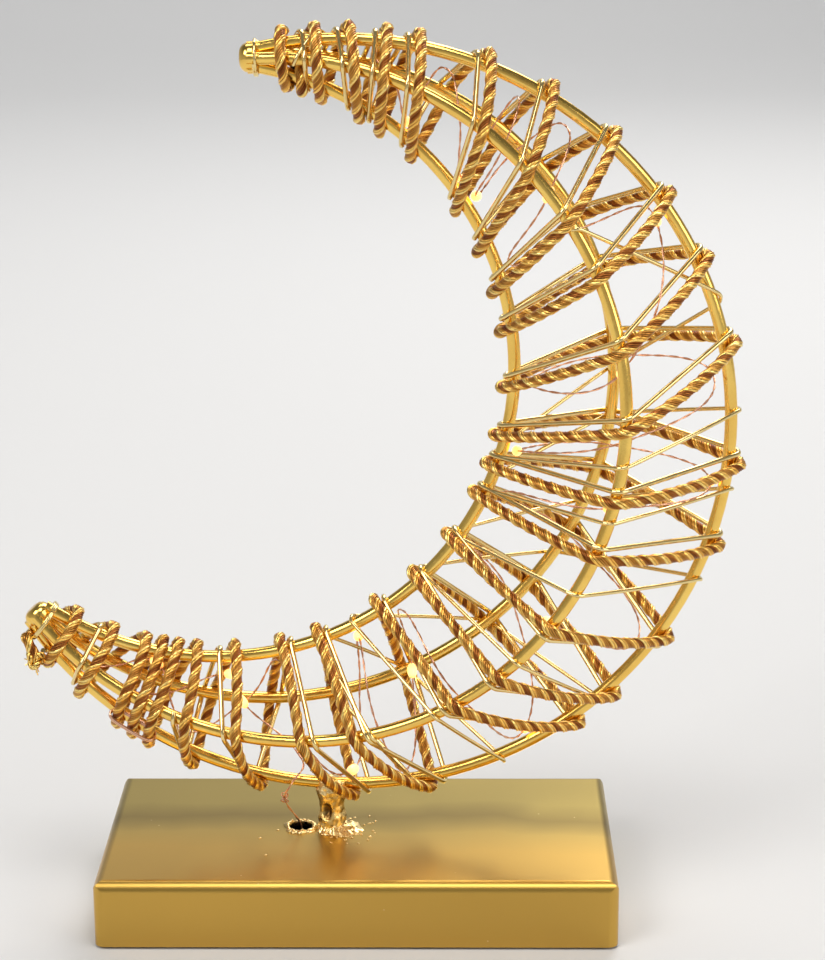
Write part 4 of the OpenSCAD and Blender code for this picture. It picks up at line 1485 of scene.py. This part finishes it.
@dataclass
class LampString:
    """The pair of thin copper wires inside the cage and the lamp beads on them, in millimetres."""

    cage: Cage
    shares: tuple[float, ...] = (
        0.795, 0.845, 0.862, 0.905, 0.944, 0.935, 0.916, 0.89, 0.872, 0.842, 0.825, 0.80,
        0.762, 0.757, 0.753, 0.74, 0.725, 0.713, 0.70, 0.67, 0.646, 0.61, 0.585, 0.57,
        0.55, 0.53, 0.50, 0.457, 0.44, 0.44, 0.438, 0.40, 0.375, 0.36, 0.35, 0.343,
        0.268, 0.25, 0.225, 0.203, 0.19, 0.175, 0.163, 0.16, 0.156, 0.152, 0.148, 0.125,
        0.11, 0.10, 0.095, 0.08, 0.065)
    bead_stops: tuple[int, ...] = (1, 2, 4, 6, 12, 14, 17, 20, 22, 23, 27, 28, 30, 35, 36, 39, 42, 46, 50)
    bead_d: float = 3.0
    bead_l: float = 5.0
    bead_clear: float = 0.9
    deep_stops: int = 4
    deeper_by: float = 2.2
    hole_x: float = HOLE_X
    board_top: float = BOARD_TOP
    board_end: float = -20.0
    entry_share: float = 0.8
    entry_aside: float = 4.9
    joint_in: float = 2.4
    joint_up: float = 0.35
    board_rise: float = 2.4
    below_hole: float = 2.0
    above_hole: float = 1.0
    tangle_size: float = 0.85
    tangle_step: float = 0.15
    tangle_count: int = 90
    drop_rows: int = 14
    drop_sides: int = 20
    kink: Triple = (-22.0, -4.0, 31.7)

    def stop(self, i: int) -> Vector:
        """Works out the string's place at one of its stops.

        Args:
            i: the stop's number.

        Returns:
            The place, in metres.
        """
        share = self.shares[i]
        rod = self.cage.rod_at(share, Quarter(-i % 4))
        heart = Vector(((self.cage.outer.radius + self.cage.rod_at(share, Quarter.INNER)[0]) / 2, 0.0))
        inside = self.cage.rod_r + self.bead_d / 2 + self.bead_clear
        inside += self.deeper_by if i < self.deep_stops else 0.0
        return self.cage.world(self.cage.placed(share, rod + inside * (heart - rod).normalized()))

    def route(self) -> Line:
        """Works out the string's stops, from the circuit board to its far end.

        Returns:
            The stops, in metres.
        """
        outer = self.cage.rod_at(self.entry_share, Quarter.OUTER)
        entry = self.cage.world(self.cage.placed(self.entry_share, outer - Vector((0.0, self.entry_aside))))
        rise = ((self.board_end - self.joint_in, 0.0, self.board_top + self.joint_up),
                (self.board_end - self.joint_in / 2, 0.0, self.board_top + self.board_rise),
                ((self.board_end + self.hole_x) / 2, 0.0, (self.board_top + self.cage.base_h) / 2),
                (self.hole_x, 0.0, self.cage.base_h - self.below_hole),
                (self.hole_x, 0.0, self.cage.base_h + self.above_hole),
                self.kink)
        return [*(MM * Vector(p) for p in rise), entry, *(self.stop(i) for i in range(len(self.shares)))]

    def tangle(self) -> Line:
        """Returns the line of the small tangle in the string outside the hole, in metres."""
        return [MM * Vector(self.kink) + self.tangle_size * MM * Vector((
            math.sin(1.3 * t) + 0.4 * math.sin(3.1 * t), math.cos(1.7 * t), 1.6 * math.sin(t + 0.6)))
            for t in (self.tangle_step * i for i in range(self.tangle_count))]

    def drop(self, shape: Shape) -> None:
        """Adds one long drop, slimmer where the wires leave it.

        Args:
            shape: the empty mesh.
        """
        def corner(z: float, turn: float) -> tuple[Vector, float]:
            """Returns a corner of the drop, from -1 to 1 along it, and how near it is to an end."""
            r = self.bead_d / 2 * max(0.08, (1 - abs(z) ** 2.6)) ** 0.55
            return r * flat_way(turn) + Vector((0.0, 0.0, self.bead_l / 2 * z)), abs(z)

        rows = [-math.cos(math.pi * f) for f in shares_of(self.drop_rows)]
        skin(shape, rows, self.drop_sides, corner, layer="end")

    def beads(self) -> Piece:
        """Sets one resin drop on the string at each lamp stop.

        Returns:
            The beads as one piece.
        """
        mesh = bpy.data.meshes.new("lamp_places")
        mesh.from_pydata([self.stop(i) for i in self.bead_stops], [], [])
        ways = mesh.attributes.new("way", "FLOAT_VECTOR", "POINT")
        for spot, i in zip(ways.data, self.bead_stops):
            spot.vector = (self.stop(i + 1) - self.stop(i - 1)).normalized()
        drop = mesh_piece("resin_drop", RESIN_LIT, self.drop)
        tree = Recipe("beads_on_string")
        turn = tree.node("FunctionNodeAlignRotationToVector", {"Vector": tree.stored("way")}, axis="Z")
        shape = tree.node("GeometryNodeObjectInfo", {"Object": tree.give("Bead", drop)})
        size = tree.node("FunctionNodeRandomValue", {2: 0.94, 3: 1.0, "Seed": tree.give("Seed", 7)},
                         data_type="FLOAT")
        set_out = tree.node("GeometryNodeInstanceOnPoints", {
            "Points": tree.start, "Instance": shape.outputs["Geometry"],
            "Rotation": turn.outputs[0], "Scale": size.outputs[1]})
        carrier = shown(bpy.data.objects.new("lamp_places", mesh))
        piece = tree.grow(set_out.outputs[0], RESIN_LIT, carrier, "lamp_beads")
        bpy.data.objects.remove(drop)
        return piece

    def build(self) -> None:
        """Makes the two wires, the tangle at their kink and the beads."""
        pair = Lay(2, 0.17, 0.18, 9.0, 0.0, 0.5, 6)
        settle(pair.twist([smooth_line(self.route(), 0.8)], "lamp_string", FAIRY_COPPER, 0.8, 0.35),
               "fairy_copper", "light_string")
        draw("string_tangle", [self.tangle()], FAIRY_COPPER, 0.19, 0.3, "fairy_copper", sides=6)
        settle(self.beads(), "lamp_resin", "led_beads")


# Stand and base


@dataclass
class Stand:
    """The stud between base and crescent, with its weld and braze, in millimetres."""

    cage: Cage
    turns: Turns
    turn: int = 17
    rope_gap: float = 3.15
    stud_r: float = 4.1
    waist: float = 0.5
    waist_r: float = 8.0
    pit: Triple = (-1.6, -3.7, 6.4)
    pit_size: Triple = (1.9, 2.4, 2.9)
    pit_depth: float = 1.7
    weld_r: float = 6.2
    weld_h: float = 2.2
    weld_lobe: float = 3.4
    sunk: float = 0.4
    braze_r: float = 5.0
    braze_drop: float = 1.2
    braze_top: float = 0.8
    hole_x: float = HOLE_X
    hole_edge: float = 4.9
    crumb_count: int = 46
    crumb_spread: float = 3.2
    crumb_r: float = 0.5
    crumb_least: Triple = (0.4, 0.4, 0.3)
    crumb_most: Triple = (1.5, 1.3, 0.8)
    crumb_turn: Triple = (0.3, 0.3, math.tau)
    rows: int = 40
    stud_sides: int = 64
    foot_rows: int = 18
    foot_sides: int = 120
    braze_sides: int = 72
    stud_waves: Waves = ((0.22, 1.7, 0.0), (0.1, 0.6, 3.0))
    edge_waves: Waves = ((0.9, 1.3, 5.0), (0.4, 0.35, 8.0))
    foot_waves: Waves = ((0.35, 1.5, 0.0), (0.22, 0.5, 2.0))
    braze_waves: Waves = ((0.45, 1.8, 1.0), (0.2, 0.55, 4.0))
    far_crumbs: tuple[Flat, ...] = ((-24.3, -2.0), (-29.2, -7.7), (-26.7, -19.5))

    def __post_init__(self) -> None:
        """Works out where the stud stands."""
        outer = self.cage.outer.radius
        share = self.turns.rope(4 * self.turn) + self.cage.share_of(self.braze_r + self.rope_gap, outer)
        self.x = (self.cage.world(self.cage.on_rod(share, Quarter.OUTER)) / MM)[0]
        self.top = self.cage.moon_z - math.sqrt(outer ** 2 - (self.x - self.cage.moon_x) ** 2)

    def spot(self, turn: float, radius: float, z: float) -> Vector:
        """Returns a point round the stud's axis."""
        return Vector((self.x, 0.0, z)) + radius * flat_way(turn)

    def stud_wall(self, shape: Shape) -> None:
        """Adds the rough stud with its waist and the hollow in its front.

        Args:
            shape: the empty mesh.
        """
        low, high = self.cage.base_h, self.top - 0.3
        waist_z = low + (high - low + self.weld_h) / 2 - self.cage.rod_r / 2
        pit = Vector((self.x, 0.0, low)) + Vector(self.pit)

        def corner(z: float, turn: float) -> tuple[Vector, float]:
            """Returns a corner of the stud's wall and how deep in the hollow it lies, which sets the painted
            shade there.

            Args:
                z: its height above the table.
                turn: its turn.

            Returns:
                The place and the depth.
            """
            off = min(abs(z - waist_z), self.waist_r)
            neck = self.stud_r - self.waist + self.waist_r - math.sqrt(self.waist_r ** 2 - off ** 2)
            spot = self.spot(turn, min(self.stud_r, neck), z)
            away = Vector([d / size for d, size in zip(spot - pit, self.pit_size)]).length
            deep = max(0.0, 1 - away ** 2) ** 0.7
            out = rough(spot, self.stud_waves) - self.pit_depth * deep
            # The second value darkens the hollow as painted shade.
            return spot + out * flat_way(turn), min(1.0, 1.5 * deep)

        skin(shape, [low + (high - low) * f for f in shares_of(self.rows)], self.stud_sides, corner)

    def foot_edge(self, turn: float) -> float:
        """Works out how far the weld runs out from the stud in one direction.

        Args:
            turn: the direction, in radians from the lamp's right.

        Returns:
            The distance from the stud's axis, in millimetres.
        """
        way = flat_way(turn)
        lobe = self.weld_lobe * max(0.0, math.cos(turn + 0.25)) ** 3
        edge = self.weld_r + lobe + rough(way * 3, self.edge_waves)
        if way[0] < 0:
            edge = min(edge, (self.x - self.hole_x - self.hole_edge) / max(0.1, -way[0]))
        return max(self.stud_r + 0.2, edge)

    def foot(self, shape: Shape) -> None:
        """Adds the ragged weld round the stud's foot, whose border sinks into the base.

        Args:
            shape: the empty mesh.
        """
        inner, low = self.stud_r - 0.8, self.cage.base_h

        def corner(f: float, turn: float) -> tuple[Vector, float]:
            """Returns a corner of the weld: 0 at the stud, 1 at its edge, and sunk where it is beyond.

            Args:
                f: its place from the stud to the edge.
                turn: its turn.

            Returns:
                The place and 0.
            """
            edge = self.foot_edge(turn)
            if not 0 <= f <= 1:
                return self.spot(turn, inner if f < 0 else edge + 0.1, low - self.sunk), 0.0
            spot = self.spot(turn, inner + f * (edge - inner), low)
            rise = self.weld_h * (1 - f) ** 1.6 + 0.45 * (1 - f ** 6)
            return spot + Vector((0.0, 0.0, rise + rough(spot, self.foot_waves) * (1 - f ** 8))), 0.0

        rows = [i / self.foot_rows for i in range(-1, self.foot_rows + 2)]
        skin(shape, rows, self.foot_sides, corner, capped=False)

    def braze(self, shape: Shape) -> None:
        """Adds the lumpy braze that holds the outer rod on the stud.

        Args:
            shape: the empty mesh.
        """
        def corner(tilt: float, turn: float) -> tuple[Vector, float]:
            """Returns a corner of the braze, flattened under the rod.

            Args:
                tilt: its angle above the braze's middle.
                turn: its turn.

            Returns:
                The place and 0.
            """
            way = math.cos(tilt) * flat_way(turn) + Vector((0.0, 0.0, math.sin(tilt)))
            out = rough(way * self.braze_r, self.braze_waves)
            spot = Vector((self.x, 0.0, self.top - self.braze_drop)) + (self.braze_r - 0.3 + out) * way
            roof = self.top + self.braze_top + 0.5 * out
            spot[2] = spot[2] if spot[2] <= roof else roof + 0.15 * (spot[2] - roof)
            return spot, 0.0

        tilts = [math.pi * f - math.pi / 2 for f in shares_of(self.rows)[1:-1]]
        skin(shape, tilts, self.braze_sides, corner)

    def spatter(self) -> Piece:
        """Scatters small weld crumbs on the base, mostly right of the stud.

        Returns:
            The crumbs as one piece.
        """
        spots = [Vector((*spot, self.cage.base_h)) for spot in self.far_crumbs]
        for _ in range(self.crumb_count):
            turn, out = random.gauss(-0.2, 0.8), self.weld_r + abs(random.gauss(0.0, self.crumb_spread))
            spots.append(self.spot(turn, out, self.cage.base_h))
        mesh = bpy.data.meshes.new("crumb_places")
        mesh.from_pydata([MM * spot for spot in spots], [], [])
        tree = Recipe("crumbs_on_base")
        ball = tree.node("GeometryNodeMeshIcoSphere", {
            "Radius": tree.give("Crumb radius", self.crumb_r * MM), "Subdivisions": tree.give("Steps", 2)})
        seed = tree.give("Seed", 11)
        sizes, turns = (tree.node("FunctionNodeRandomValue", {0: low, 1: high, "Seed": seed},
                                  data_type="FLOAT_VECTOR")
                        for low, high in ((self.crumb_least, self.crumb_most),
                                          ((0.0, 0.0, 0.0), self.crumb_turn)))
        set_out = tree.node("GeometryNodeInstanceOnPoints", {
            "Points": tree.start, "Instance": ball.outputs["Mesh"],
            "Rotation": turns.outputs[0], "Scale": sizes.outputs[0]})
        carrier = shown(bpy.data.objects.new("crumb_places", mesh))
        return tree.grow(set_out.outputs[0], BURR_GOLD, carrier, "weld_crumbs")

    def build(self) -> None:
        """Makes the stud, its foot weld, the braze and the crumbs round them."""
        settle(mesh_piece("rough_stud", CAST_GOLD, self.stud_wall), "rods_gold", "support_post")
        settle(mesh_piece("foot_weld", BURR_GOLD, self.foot), "weld_gold", "post_weld")
        settle(mesh_piece("rod_braze", BURR_GOLD, self.braze), "weld_gold", "saddle_braze")
        settle(self.spatter(), "weld_gold")


@dataclass
class BaseCase:
    """The pressed sheet box and the ragged burr round its wire hole, in millimetres."""

    top: float = BASE_H
    hole_x: float = HOLE_X
    hole_r: float = 3.45
    burr_w: float = 1.5
    burr_h: float = 0.8
    burr_sides: int = 90
    wide_waves: Waves = ((0.35, 1.6, 7.0), (0.25, 0.5, 9.0))
    high_waves: Waves = ((0.4, 1.2, 2.0), (0.3, 0.4, 6.0))
    profile: tuple[Flat, ...] = (
        (0, -0.4), (0, 0.5), (0.2, 0.95), (0.45, 1.0), (0.75, 0.7), (0.95, 0.3), (1, -0.4))

    def burr(self, shape: Shape) -> None:
        """Adds the burr.

        Args:
            shape: the empty mesh.
        """
        def corner(row: Flat, turn: float) -> tuple[Vector, float]:
            """Returns a corner of the burr.

            Args:
                row: how far out and how high it lies, as shares of the burr.
                turn: its turn.

            Returns:
                The place and 0.
            """
            out, up = row
            way = flat_way(turn)
            wide = self.burr_w * (1 + rough(way * 4, self.wide_waves))
            uneven = rough(way * 4, self.high_waves) if out < 1 else 0.0
            middle = Vector((self.hole_x, 0.0, self.top + self.burr_h * (1 + uneven) * up))
            return middle + (self.hole_r + wide * out) * way, 0.0

        skin(shape, self.profile, self.burr_sides, corner, capped=False)

    def build(self) -> None:
        """Dresses the sheet box and makes the burr."""
        dress_node("base_shell", SHEET_GOLD)
        settle(mesh_piece("hole_burr", BURR_GOLD, self.burr), "weld_gold")


@dataclass
class Underside:
    """What closes the base from below and what is inside it, in millimetres."""

    box_x: float = 32.85
    box_l: float = 57.9
    chamber_l: float = 55.5
    cell_count: int = 3
    cell_pitch: float = 14.6
    cell_z: float = 11.1
    contact_t: float = 0.5
    spring_l: float = 4.0
    spring_wire: float = 0.7
    spring_turns: int = 3
    spring_wide: float = 4.6
    spring_narrow: float = 2.8
    spring_steps: int = 28
    pad_x: float = -21.2
    pad_y: float = 5.0
    board_top: float = BOARD_TOP
    lead_d: float = 1.2
    resistor_l: float = 6.0

    def coil(self, cell: int) -> Line:
        """Works out the line of one contact spring.

        Args:
            cell: which cell it presses on, from 0.

        Returns:
            The points, in metres.
        """
        start = -self.chamber_l / 2 + self.contact_t + self.spring_wire / 2
        side = -1 if cell % 2 else 1
        line = []
        for f in shares_of(self.spring_steps * self.spring_turns):
            turn = math.tau * self.spring_turns * f
            radius = self.spring_wide + (self.spring_narrow - self.spring_wide) * f
            line.append(MM * Vector((
                self.box_x + side * (start + (self.spring_l - self.spring_wire) * f),
                (cell - 1) * self.cell_pitch + side * radius * math.cos(turn),
                self.cell_z + radius * math.sin(turn))))
        return line

    def lead(self, side: int) -> Line:
        """Works out the line of one lead from the circuit board to the battery box.

        Args:
            side: -1 for the front lead and 1 for the back one.

        Returns:
            The points, in metres.
        """
        wall, d = self.box_x - self.box_l / 2, self.lead_d
        return smooth_line([MM * Vector((x, side * y, z)) for x, y, z in (
            (self.pad_x, self.pad_y, self.board_top),
            (self.pad_x, self.pad_y, self.board_top + d),
            (self.pad_x + d, self.pad_y + d, self.board_top + 2 * d),
            ((self.pad_x + 2 * wall) / 3, self.cell_pitch / 2, self.board_top + d),
            (wall - 2 * d, self.cell_pitch, self.cell_z),
            (wall, self.cell_pitch, self.cell_z))], 0.5)

    def build(self) -> None:
        """Dresses the solids of the underside and makes its wound and soft pieces."""
        low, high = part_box("battery_cells")
        wrap = CellWrap("cell_wrap", (low[0] + high[0]) / 2, (high[0] - low[0]) / 2)
        bands = BandedBody("resistor_bands", self.resistor_l * MM)
        for node, finish in (
                ("corner_brackets", BRACKET_PLATE), ("base_plate", BLACK_PLASTIC),
                ("foam_pad", PAD_FOAM), ("plate_screws", SCREW_PLATE),
                ("battery_box", BLACK_PLASTIC), ("battery_door", BLACK_PLASTIC),
                ("battery_cells", wrap), ("contact_plates", CONTACT_NICKEL),
                ("circuit_board", GREEN_BOARD), ("resistor", bands),
                ("switch_housing", SWITCH_PLASTIC), ("switch_slider", SLIDER_PLASTIC)):
            dress_node(node, finish)
        draw("spring_coils", [self.coil(i) for i in range(self.cell_count)], CONTACT_NICKEL,
             self.spring_wire / 2, 0.4, "contact_nickel", "contact_springs")
        draw("red_lead", [self.lead(-1)], RED_SLEEVE, self.lead_d / 2, 0.5, "lead_red", "lead_wires",
             sides=14)
        draw("black_lead", [self.lead(1)], BLACK_SLEEVE, self.lead_d / 2, 0.5, "plate_black", sides=14)


# Studio


@dataclass
class Studio:
    """Floor, lamps, world and camera, in metres and radians."""

    eye: Triple = (0.0255, -0.6864, 0.331)
    pitch: float = math.radians(16.43)
    yaw: float = math.radians(-0.77)
    roll: float = math.radians(-0.28)
    focal_px: float = 2500.0
    long_side_px: float = 960.0
    sensor_mm: float = 36.0
    target: Triple = (0.0, 0.0, 0.13)
    floor_half: float = 1.6
    floor_back: float = 3.0
    floor_bend: float = 1.2
    wall_top: float = 3.0

    def camera(self) -> None:
        """Sets the camera at the photographed angle."""
        ahead = Vector((math.sin(self.yaw) * math.cos(self.pitch), math.cos(self.yaw) * math.cos(self.pitch),
                        -math.sin(self.pitch)))
        level = Vector((math.cos(self.yaw), -math.sin(self.yaw), 0.0))
        over = level.cross(ahead)
        right = math.cos(self.roll) * level + math.sin(self.roll) * over
        up = math.cos(self.roll) * over - math.sin(self.roll) * level
        data = bpy.data.cameras.new("studio_camera")
        data.sensor_width = self.sensor_mm
        data.lens = self.focal_px * self.sensor_mm / self.long_side_px
        data.clip_start, data.clip_end = 0.02, 50.0
        piece = shown(bpy.data.objects.new("studio_camera", data))
        piece.matrix_world = Matrix.Translation(self.eye) @ Matrix((right, up, -ahead)).transposed().to_4x4()
        bpy.context.scene.camera = piece

    def sweep(self, shape: Shape) -> None:
        """Adds the floor, its bend and the wall behind.

        Args:
            shape: the empty mesh.
        """
        half, back, bend = self.floor_half, self.floor_back, self.floor_bend
        bends = [(back - bend + bend * math.sin(a), bend - bend * math.cos(a))
                 for a in (math.radians(d) for d in range(10, 91, 10))]
        profile = [(-half, 0.0), (back - bend, 0.0), *bends, (back, self.wall_top)]
        rows = [[shape.verts.new((x, y, z)) for x in (-half, half)] for y, z in profile]
        for low, high in zip(rows, rows[1:]):
            shape.faces.new((low[0], low[1], high[1], high[0]))

    def lamp(self, name: str, spot: Sequence[float], size: float, power: float, colour: Colour,
             target: Sequence[float] | None = None) -> None:
        """Hangs one soft square lamp.

        Args:
            name: the lamp's name.
            spot: its place.
            size: its side.
            power: its power, in watts.
            colour: its colour.
            target: the point that it faces, or None for the ornament's middle.
        """
        data = bpy.data.lights.new(name, "AREA")
        data.shape, data.size, data.energy, data.color = "SQUARE", size, power, colour
        aim = Vector(target or self.target) - Vector(spot)
        turn = aim.to_track_quat("-Z", "Y").to_matrix().to_4x4()
        shown(bpy.data.objects.new(name, data)).matrix_world = Matrix.Translation(spot) @ turn

    def world(self) -> None:
        """Sets a dim grey room that is brighter towards the horizon."""
        made = bpy.data.worlds.new("studio_room")
        bpy.context.scene.world = made
        made.use_nodes = True
        made.node_tree.nodes.clear()
        sketch = ShaderSketch(made.node_tree)
        height = sketch.axis(sketch.node("ShaderNodeTexCoord").outputs["Generated"], "Z")
        tone = sketch.blend(sketch.spread(height, 0.0, 0.7), (0.55, 0.55, 0.55), (0.16, 0.16, 0.16))
        room = sketch.node("ShaderNodeBackground", {"Color": tone, "Strength": 0.8})
        sketch.node("ShaderNodeOutputWorld", {"Surface": room.outputs[0]})

    def build(self) -> None:
        """Sets up the whole studio."""
        self.camera()
        mesh_piece("studio_floor", Paper("studio_paper"), self.sweep)
        self.world()
        self.lamp("key_lamp", (-0.9, -0.9, 1.3), 0.8, 12.0, (1.0, 0.98, 0.95))
        self.lamp("top_lamp", (0.1, -0.5, 1.35), 0.6, 6.0, (1.0, 0.98, 0.95))
        self.lamp("fill_lamp", (1.3, -0.7, 0.7), 0.9, 7.0, (1.0, 0.97, 0.93))
        self.lamp("rim_lamp", (0.4, 1.1, 1.2), 0.7, 10.0, (1.0, 0.98, 0.96))
        self.lamp("backdrop_lamp", (0.0, 1.4, 2.6), 1.6, 32.0, (1.0, 1.0, 1.0), (0.0, 3.0, 0.3))
        bpy.context.scene.view_settings.view_transform = "Standard"
        log.info("studio: camera, floor, room and five lamps")


def main() -> None:
    """Builds the studio and every sub-assembly in order."""
    logging.basicConfig(level=logging.INFO, format="%(name)s: %(message)s")
    random.seed(5)
    cage = Cage()
    turns = Turns(cage)
    rope = RopeWork(cage, turns)
    for part in (Studio(), BaseCase(), Underside(), Stand(cage, turns), Rods(), rope, WireWork(cage, turns),
                 Knots(rope), LampString(cage)):
        part.build()


if __name__ == "__main__":
    main()
